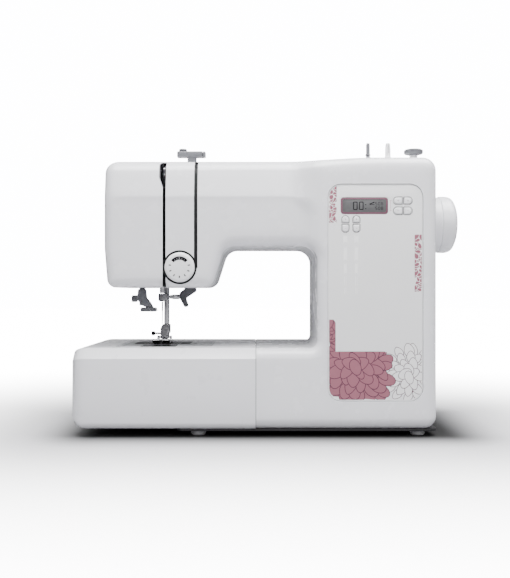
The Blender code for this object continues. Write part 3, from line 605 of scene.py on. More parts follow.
# ---------------------------------------------------------------- rear cover
# The rear half of the body, with the base's deeper back, a well on top for the carry handle, and
# openings in its right wall for the mains inlet and the switch. Same white plastic.
whole_rear = pillow("back", body_corners, -11.7, 44.0, (0.0, EDGE))
rear_block_corners = [(-45, 8, 11.5), (170.4, 8, 12), (170.4, 89, 10), (-45, 89, 11.5)]
rear_block = pillow("back", rear_block_corners, 20, 86, (0, EDGE))
rear_hollow = pillow("back", inset(body_corners, WALL), -30, 41.4, (0.0, 9.0))
rear_hollow = carve(rear_hollow, [block((-67.6, 77.6), (-8.6, 60), (265.4, 300))])
low_hollow_corners = [(-60, 10.6, 5), (167.8, 10.6, 8), (167.8, 86.4, 8), (-60, 86.4, 5)]
low_hollow = pillow("back", low_hollow_corners, -20, 83.4, (0.0, 9.0))
handle_well = block((-65, 75), (-6, 60), (268, 300))
hinge_bores = lathe("X", (0, 277), [(0, -67.1), (2.8, -67.1), (2.8, 77.1), (0, 77.1)], 24)
lever_bore = lathe("Y", (-96, 166), [(0, 30), (4.3, 30), (4.3, 60), (0, 60)], 32)
rear_mesh = carve(whole_rear, [rear_block], "UNION")
rear_mesh = carve(rear_mesh, [
    rear_hollow, low_hollow, left_of_base, handle_well, hinge_bores, lever_bore, head_mouth,
    arm_mouth, shaft_mouth, block((160, 180), (-0.3, 12.3), (41.7, 62.3)),
    block((160, 180), (15.7, 36.3), (39.7, 62.3)), block((-8, 156), (-30, 79), (0, 12)),
    block((-300, -109.3), (-20, 100), (100, 300)),
])
show("rear_cover_shell", rear_mesh, white_plastic, "root", ["rear_cover"], 32)
face_rear = carve(whole_rear, [
    rear_hollow, head_mouth, block((-109.6, 300), (-30, 100), (0, 400)),
    block((-300, 300), (-20, 100), (0, 120)),
])
show("face_cover_rear", face_rear, white_plastic, "root", ["face_cover"], 32)

# ---------------------------------------------------------------- extension bed
# The box that slides on round the free arm to widen the bed, hollow to hold the spare feet. It
# is thin white plastic with a flat front, a crease below its sloping top edge and soft corners.
BED_HALF_DEPTH = 86
BED_CREASE = 78.8
BED_OUTLINE = [
    (-BED_HALF_DEPTH, 8, 7), (BED_HALF_DEPTH, 8, 7), (BED_HALF_DEPTH, 89, 9), (-74, 89, 6),
    (-85.4, BED_CREASE, 1.0),
]
BED_LEFT = -202.0
BED_RIGHT = -15.55
BED_CORNER = 15.0
CORNER_CUTS = 10
LENGTH_CUTS = 12


def bed_shell():
    """Loft the bed's side outline along X, closing in at its left end with a soft curve."""
    body = bmesh.new()
    loops = []
    spots = []
    for step in range(CORNER_CUTS + 1):
        angle = math.pi / 2 * step / CORNER_CUTS
        spots.append((BED_LEFT + BED_CORNER * (1 - math.cos(angle)), BED_CORNER * (1 - math.sin(angle))))
    straight = BED_RIGHT - BED_LEFT - BED_CORNER
    for step in range(1, LENGTH_CUTS + 1):
        spots.append((BED_LEFT + BED_CORNER + straight * step / LENGTH_CUTS, 0.0))
    for x, shrink in spots:
        loop = []
        for y, z in rounded(BED_OUTLINE):
            middle, share = (52.0, 0.5) if z > 50 else (44.0, 1.0)
            closed_y = y * (1 - shrink / BED_HALF_DEPTH)
            closed_z = (z - middle) * (1 - shrink * share / 44) + middle
            loop.append(body.verts.new(Vector((x, closed_y, closed_z)) * MM))
        loops.append(loop)
    for one, two in zip(loops, loops[1:]):
        for index in range(len(one)):
            after = (index + 1) % len(one)
            body.faces.new((one[index], one[after], two[after], two[index]))
    body.faces.new(loops[0])
    body.faces.new(loops[-1])
    bmesh.ops.recalc_face_normals(body, faces=body.faces)
    mesh = bpy.data.meshes.new("bed")
    body.to_mesh(mesh)
    body.free()
    return mesh


arm_bay = block((-164.5, 40), (-60.5, 36.5), (0, 100))
bed_hollow = carve(block((-198, 30), (-81.0, 81.0), (13, 76)), [arm_bay])
bed_mesh = carve(bed_shell(), [block((-161, 10), (-57, 33), (0, 100)), bed_hollow])
show("extension_bed", bed_mesh, bed_plastic, "attachment_body", ["bed_attachment"], 28)
# A black strip stands in the seam between the bed and the base, as painted shade for the dark line of that
# gap.
seam_shade_strip = pillow("side", inset(BED_OUTLINE, 1.0), -15.5, -15.02)
show("bed_seam_painted_shade", seam_shade_strip, black_plastic, "root")

# ---------------------------------------------------------------- thread slots
# The needle thread runs down one slot, round the tension discs and up the other. Black plastic
# channels line both slots, clipped behind the covers' edges, and a black ring fills the gap round the
# dial as painted shade.
dial_x, dial_z = dial_at


def lining(x, back, floor):
    """A black strip behind a slot, following the curve of the head's face up to its top."""
    face = [(-77.8, 240), (-77.0, 247), (-75.2, 258), (-73.5, 266), (-71.2, 271), (-66.5, 275.6)]
    corners = [(-77.8, floor, 0.1), (back, floor, 0.1), (back, 277.6, 0.1)]
    corners += [(y, z, 0.1) for y, z in reversed(face)]
    return pillow("side", corners, x[0], x[1])


left_wall = carve(lining((-109.58, -109.1), -60.0, 151.0), [take_up_mouth])
right_wall = lining((-107.0, -106.52), -60.0, 151.0)
right_lining = lining((-77.85, -74.35), -64.0, 170.5)
# A black ring in the gap between the dial and its mouth in the cover, as painted shade for that gap.
dial_gap_shade_ring = lathe("Y", dial_at, [(17.1, -78.3), (17.1, -68), (15.6, -68), (15.6, -78.3)], 96)
for name, mesh in (("left_slot_wall", left_wall), ("left_slot_liner", right_wall),
                   ("right_slot_lining", right_lining), ("dial_gap_shade_ring", dial_gap_shade_ring)):
    show(name, mesh, black_plastic, "root")

# ---------------------------------------------------------------- control panel
# A light grey moulded plate snapped into the column, with a window for the display and holes
# for the keys. A row of fine lines and a flower pattern are printed on its face.
PANEL_FACE = 85.2
panel_plastic = plastic("panel_plastic", (0.87, 0.87, 0.875), 0.34, 0.003, coat=0.15)
panel_rim = frame_of(panel_x, panel_z, 13.0)
key_boxes = {name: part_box(name) for name in (f"key_{number}" for number in range(1, 9))}
panel_mesh = pillow("front", panel_rim, 82.8, PANEL_FACE, (0.0, 0.7), steps=3)
display_low, display_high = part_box("display")
display_x = (display_low[0] / MM, display_high[0] / MM)
display_z = (display_low[2] / MM, display_high[2] / MM)
holes = [pillow("front", frame_of(display_x, display_z, 3.0, 0.3), 70, 95)]


def key_corners(number, grow):
    """Corners of a D-shaped key, its long round side outwards."""
    low, high = key_boxes[f"key_{number}"]
    x = (low[0] / MM - grow, high[0] / MM + grow)
    z = (low[2] / MM - grow, high[2] / MM + grow)
    if number <= 4:
        big = 0.46 * (z[1] - z[0])
        left, right = (big, 0.9) if number % 2 else (0.9, big)
        return [(x[0], z[0], left), (x[1], z[0], right), (x[1], z[1], right), (x[0], z[1], left)]
    big = 0.46 * (x[1] - x[0])
    low_radius, top_radius = (0.9, big) if number <= 6 else (big, 0.9)
    return [
        (x[0], z[0], low_radius), (x[1], z[0], low_radius),
        (x[1], z[1], top_radius), (x[0], z[1], top_radius),
    ]


for number in range(1, 9):
    holes.append(pillow("front", key_corners(number, 0.35), 70, 95))
posts = [
    lathe("Y", (x, z), [(0, -83.5), (3, -83.5), (3, -77.3), (0, -77.3)], 20)
    for x in (panel_x[0] + 8, panel_x[1] - 8)
    for z in (panel_z[0] + 14, panel_z[1] - 14)
]
panel_mesh = carve(panel_mesh, holes)
panel_mesh = carve(panel_mesh, posts, "UNION")
show("panel_plate", panel_mesh, panel_plastic, "root", ["control_panel"], 28)

# ---------------------------------------------------------------- display
# A liquid crystal display behind a grey window, in a narrow mauve printed border. It shows the
# stitch number in seven-bar digits, a small foot mark and two rows of stitch width and length.
GLASS_FACE = 85.0
mauve = plastic("mauve_print", (0.17, 0.075, 0.105), 0.35, 0.001)
display_grey, display_tree, display_shader = new_material("display_glass", (0.19, 0.19, 0.20), 0.3)
glass_drift = grain(display_tree, 220.0)
tinted(display_tree, display_shader, glass_drift, (0.105, 0.106, 0.108), (0.125, 0.125, 0.128))
display_shader.inputs["Specular IOR Level"].default_value = 0.2
segment_ink = plastic("segment_ink", (0.004, 0.004, 0.005), 0.6, 0.001)
segment_ink.node_tree.nodes["Principled BSDF"].inputs["Specular IOR Level"].default_value = 0.1
border = pillow("front", frame_of(display_x, display_z, 2.9), 80, 85.3, (0.0, 0.4), steps=3)
border = carve(border, [pillow("front", frame_of(display_x, display_z, 1.6, -1.7), 84.7, 90)])
show("display_border", border, mauve, "root", ["display"], 28)
window = pillow("front", frame_of(display_x, display_z, 1.4, -1.85), 84.72, GLASS_FACE, (0.0, 0.2), steps=2)
show("display_window", window, display_grey, "root")
BARS = {0: "abcdef", 1: "bc", 5: "acdfg", 8: "abcdefg"}


def inked(shapes, height, plane="front", thickness=0.04):
    """Print flat shapes, each a list of points of a plane, at a height over that plane."""
    body = bmesh.new()
    turn = PLANES[plane]
    for layer, shape in enumerate(shapes):
        level = height + layer * 0.00002
        top = [body.verts.new(turn @ Vector((x, y, level)) * MM) for x, y in shape]
        low = [body.verts.new(turn @ Vector((x, y, level - thickness)) * MM) for x, y in shape]
        body.faces.new(top)
        body.faces.new(low[::-1])
        for index in range(len(shape)):
            after = (index + 1) % len(shape)
            body.faces.new((top[after], top[index], low[index], low[after]))
    bmesh.ops.recalc_face_normals(body, faces=body.faces)
    mesh = bpy.data.meshes.new("ink")
    body.to_mesh(mesh)
    body.free()
    return mesh


def strip(start, end, width):
    """A thin flat stroke between two points."""
    start = Vector(start)
    end = Vector(end)
    across = (end - start).normalized().orthogonal() * width / 2
    return [start + across, start - across, end - across, end + across]


def digit(number, x, z, wide, tall, width):
    """The bars of one seven-bar digit, from its lower left corner."""
    ends = {
        "a": ((0, 1), (1, 1)), "b": ((1, 0.5), (1, 1)), "c": ((1, 0), (1, 0.5)), "d": ((0, 0), (1, 0)),
        "e": ((0, 0), (0, 0.5)), "f": ((0, 0.5), (0, 1)), "g": ((0, 0.5), (1, 0.5)),
    }
    bars = []
    for name in BARS[number]:
        (x1, z1), (x2, z2) = ends[name]
        bars.append(strip((x + x1 * wide, z + z1 * tall), (x + x2 * wide, z + z2 * tall), width))
    return bars


segments = digit(0, 82.4, 228.2, 3.6, 7.4, 0.85) + digit(0, 88.4, 228.2, 3.6, 7.4, 0.85)
segments += [strip((94.0, 229.0), (95.2, 229.0), 0.8), strip((94.0, 233.0), (95.2, 233.0), 0.8)]
segments += [strip((98.6, 233.6), (103.4, 235.6), 0.9), strip((98.6, 233.2), (103.4, 233.2), 0.5)]
for row, z in enumerate((228.0, 232.6)):
    for place, number in enumerate((5, 0, 8)):
        segments += digit(number, 104.4 + place * 2.9, z, 1.6, 2.8, 0.35)
show("display_segments", inked(segments, GLASS_FACE + 0.03), segment_ink, "root")

# ---------------------------------------------------------------- keys
# Eight domed push keys in four pairs, each D-shaped. They are white plastic on a rubber mat
# over the circuit board, which springs them back.
KEY_FACE = 85.9
key_plastic = plastic("key_plastic", (0.86, 0.86, 0.875), 0.28, 0.002, coat=0.3)
for number in range(1, 9):
    name = f"key_{number}"
    key_mesh = pillow("front", key_corners(number, -0.05), 79.5, KEY_FACE, (0.0, 1.0), steps=4)
    show(f"{name}_cap", key_mesh, key_plastic, f"{name}_body", [name], 30)
key_ink = plastic("key_ink", (0.30, 0.22, 0.25), 0.5, 0.001)
for number in range(1, 9):
    low, high = key_boxes[f"key_{number}"]
    x = (low[0] + high[0]) / 2 / MM
    z = (low[2] + high[2]) / 2 / MM
    if number in (3, 4, 7, 8):
        marks = [strip((x - 0.9, z), (x + 0.9, z), 0.3)]
    else:
        marks = [strip((x - 0.9, z), (x + 0.9, z), 0.3), strip((x, z - 0.9), (x, z + 0.9), 0.3)]
    mark_mesh = inked(marks, KEY_FACE + 0.03)
    show(f"key_{number}_mark", mark_mesh, key_ink, f"key_{number}_body")
outline_ink = plastic("outline_ink", (0.10, 0.09, 0.10), 0.5, 0.001)
outlines = []
for number in range(1, 9):
    ring = rounded(key_corners(number, 0.75), 8)
    outlines += [strip(ring[index - 1], ring[index], 0.42) for index in range(len(ring))]
show("key_outlines", inked(outlines, PANEL_FACE + 0.03), outline_ink, "root")
pink_line = plastic("pink_line_print", (0.33, 0.11, 0.17), 0.5, 0.001)
links = [
    strip((118.0, 237.0), (121.0, 237.0), 0.25), strip((118.0, 227.0), (121.0, 227.0), 0.25),
    strip((119.4, 237.0), (119.4, 227.0), 0.25),
    strip((74.2, 222.9), (74.2, 223.3), 0.25), strip((85.3, 222.9), (85.3, 223.3), 0.25),
]
show("panel_lines", inked(links, PANEL_FACE + 0.03), pink_line, "root")
white_ink = plastic("white_ink", (1.0, 1.0, 1.0), 0.4, 0.001)
streaks = []
streak_heights = ((202.5, 8.0), (191.0, 14.0), (174.5, 11.0), (161.0, 9.0), (150.0, 6.0))
for x in (74.2, 85.3):
    for step, (top, tall) in enumerate(streak_heights):
        wide = 3.4 - 0.5 * step
        streaks.append(strip((x - wide / 2, top), (x - wide / 2, top - tall), 0.7))
        streaks.append(strip((x + wide / 2, top), (x + wide / 2, top - tall), 0.5))
        if step < 3:
            streaks.append(strip((x, top - 1), (x, top - tall + 1), wide * 0.8))
show("panel_streaks", inked(streaks, PANEL_FACE + 0.02), white_ink, "root")

# ---------------------------------------------------------------- printed flowers
# A pattern of two large many-petalled blooms printed on the panel's foot, one filled in dusty
# pink and one drawn in line only, with trimmed strips of the same pattern up the panel's sides.
petal_pink = plastic("petal_pink", (0.285, 0.10, 0.135), 0.5, 0.001)
petal_line = plastic("petal_line", (0.05, 0.006, 0.025), 0.5, 0.001)
petal_white = plastic("petal_white", (0.86, 0.85, 0.855), 0.42, 0.001)
petal_soft_line = plastic("petal_soft_line", (0.07, 0.02, 0.035), 0.5, 0.001)
PRINT_MARGIN = 1.2
PRINT_CORNER = 12.0


def kept_in(point, bounds):
    """Bring a point inside the panel's printed area and inside a box, (x, z) limits."""
    x = min(max(point.x, bounds[0][0]), bounds[0][1])
    z = min(max(point.y, bounds[1][0]), bounds[1][1])
    low_x, high_x = panel_x[0] + PRINT_MARGIN, panel_x[1] - PRINT_MARGIN
    low_z, high_z = panel_z[0] + PRINT_MARGIN, panel_z[1] - PRINT_MARGIN
    x = min(max(x, low_x), high_x)
    z = min(max(z, low_z), high_z)
    hub_x = min(max(x, low_x + PRINT_CORNER), high_x - PRINT_CORNER)
    hub_z = min(max(z, low_z + PRINT_CORNER), high_z - PRINT_CORNER)
    hub = Vector((hub_x, hub_z))
    arm = Vector((x, z)) - hub
    if arm.length > PRINT_CORNER:
        arm = arm.normalized() * PRINT_CORNER
    return hub + arm


def petal(draw, centre, facing, long, wide, bounds, shrink=0.0):
    """A lobed petal: an oval whose outer end waves in two or three scallops."""
    points = []
    lobes = draw.choice((2, 3))
    phase = draw.uniform(-0.4, 0.4)
    for step in range(22):
        angle = 2 * math.pi * step / 22
        wave = 1 + 0.09 * math.cos(lobes * angle + phase) * (0.4 + 0.6 * max(math.cos(angle), 0))
        point = Vector(((long - shrink) * wave * math.cos(angle), (wide - shrink) * wave * math.sin(angle)))
        point = Matrix.Rotation(facing, 2) @ point + centre
        points.append(kept_in(point, bounds))
    return points


def tidy_shape(points):
    """Drop points that fall together, and give None if hardly any area is left."""
    kept = []
    for point in points:
        if not kept or (point - kept[-1]).length > 0.05:
            kept.append(point)
    if len(kept) > 2 and (kept[0] - kept[-1]).length < 0.05:
        kept.pop()
    area = sum(kept[i - 1].x * kept[i].y - kept[i].x * kept[i - 1].y for i in range(len(kept))) / 2
    return kept if len(kept) > 3 and abs(area) > 0.6 else None


def bloom(draw, name, petals, bounds, fill, line, height, line_width):
    """Print petals back to front, each a filled shape lying on a slightly larger line shape."""
    lines = []
    fills = []
    for layer, (centre, facing, long, wide) in enumerate(petals):
        state = draw.getstate()
        outer = tidy_shape(petal(draw, centre, facing, long, wide, bounds))
        draw.setstate(state)
        inner = tidy_shape(petal(draw, centre, facing, long, wide, bounds, line_width))
        if outer and inner:
            lines.append((layer, outer))
            fills.append((layer, inner))
    body = bmesh.new()
    for shapes, offset, slot_index in ((lines, 0.0, 1), (fills, 0.002, 0)):
        for layer, shape in shapes:
            level = height + layer * 0.004 + offset
            corners = [body.verts.new(Vector((point.x, -level, point.y)) * MM) for point in shape]
            face = body.faces.new(corners)
            face.material_index = slot_index
            face.normal_update()
            if face.normal.y > 0:
                face.normal_flip()
    mesh = bpy.data.meshes.new(name)
    body.to_mesh(mesh)
    body.free()
    show(name, mesh, None, "root")
    mesh.materials.append(fill)
    mesh.materials.append(line)


def petal_rows(draw, heart, rows, first, step, size, squash):
    """Rows of petals round a flower's heart, the outer rows first so that the inner overlap."""
    petals = []
    for row in reversed(range(rows)):
        reach = first + step * row
        count = max(4, round(2 * math.pi * reach / (size * 1.25)))
        for number in range(count):
            angle = 2 * math.pi * (number + 0.5 * (row % 2)) / count
            angle += draw.uniform(-0.12, 0.12)
            centre = heart + Vector((math.cos(angle), math.sin(angle) * squash)) * reach
            long = size * draw.uniform(0.72, 1.0)
            facing = angle + draw.uniform(-0.5, 0.5)
            petals.append((centre, facing, long, long * draw.uniform(0.62, 0.85)))
    return petals


draw = random.Random(11)
pink_area = ((panel_x[0], 128.0), (panel_z[0], 86.0))
pink_petals = petal_rows(draw, Vector((84, 74)), 6, 5, 8.4, 9.4, 0.72)
pink_petals = [one for one in pink_petals if one[0].x < 117.5 - 0.3 * max(60 - one[0].y, 0)]
bloom(draw, "pink_bloom", pink_petals, pink_area, petal_pink, petal_line, PANEL_FACE + 0.05, 0.62)
ground_area = ((panel_x[0], 116), (panel_z[0], 85.5))
ground_rim = rounded([(50, 30, 1), (104, 30, 1), (114, 60, 2), (116, 90, 3), (50, 90, 1)], 6)
ground_shape = tidy_shape([kept_in(point, ground_area) for point in ground_rim])
show("pink_ground", inked([ground_shape], PANEL_FACE + 0.02), petal_pink, "root")
white_area = ((105, panel_x[1]), (panel_z[0], 97.0))
white_petals = petal_rows(draw, Vector((138, 64)), 5, 4, 6.8, 7.2, 0.95)
white_petals = [one for one in white_petals if (one[0] - Vector((138, 64))).length < 27]
bloom(draw, "line_bloom", white_petals, white_area, petal_white, petal_soft_line, PANEL_FACE + 0.025, 0.56)
strip_areas = (
    ("left_strip_low", ((panel_x[0], 64.5), (82.0, 118.0)), petal_pink, petal_line, 7.0),
    ("left_strip_top", ((panel_x[0] + 1.0, 65.5), (215.0, 252.5)), petal_pink, petal_white, 4.4),
    ("right_strip", ((143.5, panel_x[1]), (146.0, 203.0)), petal_pink, petal_white, 4.4),
)
for name, area, fill, line, size in strip_areas:
    (x1, x2), (z1, z2) = area
    petals = []
    for step in range(int((z2 - z1) / size * 3.2)):
        centre = Vector((draw.uniform(x1, x2), z1 + size * step / 3.2 + draw.uniform(-1, 1)))
        facing = draw.uniform(0, 6.28)
        long = size * draw.uniform(0.7, 1.0)
        petals.append((centre, facing, long, size * draw.uniform(0.4, 0.6)))
    width = 0.6 if line is petal_line else 0.5
    bloom(draw, name, petals, area, fill, line, PANEL_FACE + 0.04, width)

# ---------------------------------------------------------------- tension dial
# A white dial that turns in the face of the arm to set the thread's tension, with a dark arc
# window that shows the setting and seven dark marks round its lower edge.
DIAL_FACE = 81.0
dial_profile = [
    (0, -DIAL_FACE), (12.2, -DIAL_FACE), (12.9, -80.9), (14.4, -79.9), (15.0, -79.2), (15.1, -78.6),
    (15.1, -72.5), (0, -72.5),
]
dial_mesh = lathe("Y", dial_at, dial_profile, 96)
show("dial_cap", dial_mesh, key_plastic, "dial_body", ["tension_dial"], 50)


def on_dial(degrees, radius):
    """A point on the dial's face, by its angle and its distance from the hub."""
    angle = math.radians(degrees)
    return Vector((dial_x + radius * math.cos(angle), dial_z + radius * math.sin(angle)))


arc = [on_dial(40 + 100 * step / 12, 10.9) for step in range(13)]
arc += [on_dial(140 - 100 * step / 12, 7.4) for step in range(13)]
show("dial_window", inked([arc], DIAL_FACE + 0.03), segment_ink, "dial_body")
light_ink = plastic("light_ink", (0.55, 0.55, 0.56), 0.5, 0.001)
window_marks = []
for step in range(5):
    turn = 56 + 17 * step
    window_marks.append(strip(on_dial(turn, 8.2), on_dial(turn, 9.9 if step == 2 else 9.2), 0.4))
show("dial_scale", inked(window_marks, DIAL_FACE + 0.08), light_ink, "dial_body")
dark_ink = plastic("dark_ink", (0.02, 0.02, 0.022), 0.5, 0.001)
marks = [strip(on_dial(168 + 34 * step, 8.6), on_dial(168 + 34 * step, 10.9), 1.2) for step in range(7)]
show("dial_marks", inked(marks, DIAL_FACE + 0.04), dark_ink, "dial_body")

# ---------------------------------------------------------------- free arm
# The narrow arm left standing when the bed is taken off, for sewing cuffs. Its cover is white
# plastic, open on top for the needle plate, with a slot at the back for the feed lever.
arm_mesh = pillow("side", [(-54, 30, 6), (30, 30, 6), (30, 89, 2), (-54, 89, 2)], -160, -15.6, (2.0, 0.0))
arm_mesh = carve(arm_mesh, [
    block((-157.5, 0), (-51.5, 27.5), (32.5, 84.4)), block((-157, -61), (-51.7, 27.7), (86.9, 95)),
    block((-146, -72), (-48, 24), (80, 95)), block((-136.3, -98.7), (-60, -50), (86.9, 95)),
    block((-62, -38), (25, 35), (55.5, 62.5)),
])
show("free_arm_shell", arm_mesh, bed_plastic, "root", ["free_arm_cover"], 28)

# ---------------------------------------------------------------- needle plate
# A grey plate screwed on top of the free arm, with slots for the feed dog's teeth, a hole for
# the needle and seam guide lines. A thin patch of dark metal lies on it round the slots on either side.
plate_grey = plastic("plate_grey", (0.46, 0.465, 0.48), 0.3, 0.002, coat=0.3)
steel = metal("steel", (0.33, 0.33, 0.34), 0.30)
dark_steel = metal("dark_steel", (0.055, 0.055, 0.06), 0.38)


plate_mesh = pillow("top", frame_of((-156.7, -61.3), (-51.4, 27.4), 1.5), 87.2, 89.0, (0.0, 0.5), steps=2)
cover_mouth = block((-136.3, -98.7), (-55, -18.7), (80, 95))
feed_slots = [
    block((left, left + 4.6), (front, 13), (80, 95))
    for left, front in ((-127.3, -17), (-119.9, -7), (-112.5, -17))
]
needle_hole = pillow("top", frame_of((-121.1, -114.1), (-12, -10), 0.9), 80, 95)
screw_seats = [lathe("Z", (x, 18), [(0, 88.2), (3.4, 88.2), (3.4, 95), (0, 95)], 32) for x in (-152.6, -68)]
plate_mesh = carve(plate_mesh, [cover_mouth, *feed_slots, needle_hole, *screw_seats])
show("needle_plate_top", plate_mesh, plate_grey, "root", ["needle_plate"], 28)
insert_mesh = pillow("top", frame_of((-148, -87), (-16.8, 26.6), 1.0), 88.9, 89.12, (0.0, 0.1), steps=2)
insert_mesh = carve(insert_mesh, feed_slots + [needle_hole])
show("needle_plate_insert", insert_mesh, dark_steel, "root")
plate_lines = [strip((x, -16.4), (x, 23), 0.35) for x in (-104.8, -101.6, -98.4, -130.4, -133.6, -136.8)]
plate_lines += [strip((x, y), (x + 1.6, y), 0.3) for x in (-104.6, -101.4) for y in (-8, 2, 12)]
show("needle_plate_lines", inked(plate_lines, 89.16, "top"), light_ink, "root")
for number, x in enumerate((-152.6, -68), 1):
    head = lathe("Z", (x, 18), [(0, 88.25), (3.2, 88.25), (3.2, 88.7), (2.7, 89.0), (0, 89.05)], 32)
    head = carve(head, [block((x - 3, x + 3), (17.6, 18.4), (88.75, 90))])
    show(f"plate_screw_{number}", head, steel, "root", smooth=30)

# ---------------------------------------------------------------- bobbin cover
# The slide over the bobbin, smoked clear plastic so that the thread left can be seen, with a
# raised thumb grip at its front edge. It slides forward out of the plate.
smoked, smoked_tree, smoked_shader = new_material("smoked_plastic", (0.06, 0.06, 0.065), 0.14)
tinted(smoked_tree, smoked_shader, grain(smoked_tree, 90.0), (0.045, 0.045, 0.05), (0.065, 0.065, 0.07))
smoked_shader.inputs["Transmission Weight"].default_value = 0.55
smoked_shader.inputs["IOR"].default_value = 1.49
cover_mesh = pillow("top", frame_of((-136, -99), (-51.4, -19), 1.5), 87.2, 88.7, (0.0, 0.4), steps=2)
grips = [
    block((x, x + 0.8), (-49.5, -44.5), (88.5, 88.9))
    for x in (-124, -121.8, -119.6, -117.4, -115.2, -113)
]
cover_mesh = carve(cover_mesh, grips, "UNION")
show("bobbin_cover_slide", cover_mesh, smoked, "bobbin_cover_body", ["bobbin_cover"], 30)

# ---------------------------------------------------------------- needle bar, clamp and needle
# The polished needle bar slides in two bushes of the frame. A turned clamp holds the flat-sided
# needle, and a knurled thumb screw at its right side tightens it.
NEEDLE_AT = (-117.6, -11.0)
chrome = metal("chrome", (0.40, 0.40, 0.41), 0.12, texture=0.0006)
needle_steel = metal("needle_steel", (0.42, 0.42, 0.43), 0.16, texture=0.0005)


def soft(profile, steps=4):
    """Round the inner corners of an open profile of (x, y, size) points."""
    points = [Vector(profile[0][:2])]
    for before, here, after in zip(profile, profile[1:], profile[2:]):
        middle = Vector(here[:2])
        start = middle + (Vector(before[:2]) - middle).normalized() * here[2]
        end = middle + (Vector(after[:2]) - middle).normalized() * here[2]
        for step in range(steps + 1 if here[2] else 1):
            share = step / steps
            points.append(start * (1 - share) ** 2 + middle * 2 * share * (1 - share) + end * share * share)
    points.append(Vector(profile[-1][:2]))
    return points


bar_mesh = lathe("Z", NEEDLE_AT, soft([(0, 144.3, 0), (3, 144.3, 0.4), (3, 250, 0.5), (0, 250, 0)], 3), 40)
stud = lathe("X", (-11, 202.75), soft([(0, -117, 0), (2, -117, 0), (2, -109.9, 0.3), (0, -109.9, 0)], 2), 24)
show("needle_bar_rod", carve(bar_mesh, [stud], "UNION"), chrome, "needle_unit", ["needle_bar"])
clamp_profile = [
    (0, 135.3, 0), (3.4, 135.3, 0.5), (4.6, 137, 0.6), (4.6, 142.4, 0.5), (3.9, 144, 0.4), (0, 144, 0),
]
clamp_mesh = lathe("Z", NEEDLE_AT, soft(clamp_profile), 40)
clamp_block = pillow("front", frame_of((-119, -111.6), (136.3, 143.4), 1.2), 8, 14, (0.8, 0.8), steps=3)
clamp_mesh = carve(clamp_mesh, [clamp_block], "UNION")
clamp_mesh = carve(clamp_mesh, [block((-118, -117.2), (-17, -14.2), (134, 146))])
show("needle_clamp_block", clamp_mesh, steel, "needle_unit", ["needle_clamp"], 30)
needle_profile = soft([
    (0, 109.6, 0), (0.42, 112, 0.4), (0.45, 118, 0.5), (0.5, 124, 0), (0.8, 126, 0.3), (0.8, 135, 0),
    (0, 135, 0),
])
needle_mesh = lathe("Z", NEEDLE_AT, needle_profile, 24)
eye = pillow("front", frame_of((-117.8, -117.4), (112.2, 113.5), 0.18), 9, 13)
needle_mesh = carve(needle_mesh, [eye, block((-118, -117.2), (-11.7, -11.3), (113, 124))])
show("needle_blade", needle_mesh, needle_steel, "needle_unit", ["needle"])
screw_profile = soft([
    (0, -111.3, 0), (1.5, -111.3, 0.2), (1.5, -109.6, 0), (2.2, -109.3, 0.3), (2.2, -106.8, 0.2),
    (2.7, -106.4, 0.3), (2.7, -99.4, 0.5), (2.0, -98.4, 0.3), (0, -98.4, 0),
], 2)
screw_mesh = lathe("X", (-11, 140.3), screw_profile, 36)
grooves = []
for step in range(12):
    angle = 2 * math.pi * step / 12
    at = (-11 + 2.95 * math.cos(angle), 140.3 + 2.95 * math.sin(angle))
    grooves.append(lathe("X", at, [(0, -105.6), (0.4, -105.6), (0.4, -100.4), (0, -100.4)], 8))
screw_mesh = carve(screw_mesh, grooves)
show("clamp_thumb_screw", screw_mesh, chrome, "clamp_screw_body", ["clamp_screw"], 30)

# ---------------------------------------------------------------- presser bar and foot
# The presser bar stands behind the needle bar. A steel holder with a black release button is
# screwed to its end, and a chromed foot snaps on with a cross pin that lets it rock.
PRESSER_AT = (-114.5, 4.0)
bar_mesh = lathe("Z", PRESSER_AT, soft([(0, 110.3, 0), (3, 110.3, 0.4), (3, 262, 0.5), (0, 262, 0)], 3), 40)
show("presser_rod", bar_mesh, chrome, "presser_unit", ["presser_bar"])
holder_outline = [
    (-121, 93.8, 1), (-112, 93.8, 1), (-112, 99, 0.8), (-110.6, 101, 0.8), (-110.6, 110, 1.2),
    (-118.6, 110, 1.2), (-121, 105.5, 1),
]
holder_mesh = pillow("front", holder_outline, -10, 2, (1.0, 1.0), steps=3)
holder_mesh = carve(holder_mesh, [
    block((-130, -100), (2.4, 5.6), (90, 97.1)), block((-119.2, -115.4), (-4, -0.6), (96, 108)),
])
show("foot_holder_block", holder_mesh, chrome, "presser_unit", ["foot_holder"], 30)
button_profile = soft([
    (0, -131.5, 0), (1.9, -131.5, 0.5), (2.5, -130.4, 0.4), (2.5, -128.2, 0.4), (1.1, -127.4, 0.2),
    (1.1, -119, 0), (0, -119, 0),
])
button_mesh = lathe("X", (4, 99.6), button_profile, 32)
show("foot_release_button", button_mesh, black_plastic, "presser_unit")
holder_screw_profile = soft([(0, 1, 0), (2.1, 1, 0), (2.1, -2.8, 0.4), (0, -2.8, 0)], 3)
holder_screw = lathe("Y", (-114.8, 106.2), holder_screw_profile, 32)
holder_screw = carve(holder_screw, [block((-117.2, -112.4), (-3.4, -2.3), (105.9, 106.5))])
show("foot_holder_screw", holder_screw, steel, "presser_unit", smooth=30)
sole_side = [
    (-27.0, 93.7, 0.3), (-22, 90.3, 2.5), (6, 90.3, 0.4),
    (6, 92.4, 0.4), (-21.2, 92.4, 2.5), (-26, 95.5, 0.4),
]
foot_mesh = pillow("side", sole_side, -127, -108, (0.35, 0.35), steps=2)
ear_side = [(0, 91.5, 0.3), (7, 91.5, 0.3), (6, 96.6, 1.6), (2, 97.4, 1.6)]
ears = [
    pillow("side", ear_side, low, high, (0.3, 0.3), steps=2)
    for low, high in ((-125, -122.2), (-111, -108.8))
]
cross_pin = lathe("X", (4, 95.5), [(0, -124), (1.1, -124), (1.1, -109), (0, -109)], 24)
foot_mesh = carve(foot_mesh, ears + [cross_pin], "UNION")
needle_window = pillow("top", frame_of((-121.5, -113.7), (-13.5, -8.5), 2), 85, 99)
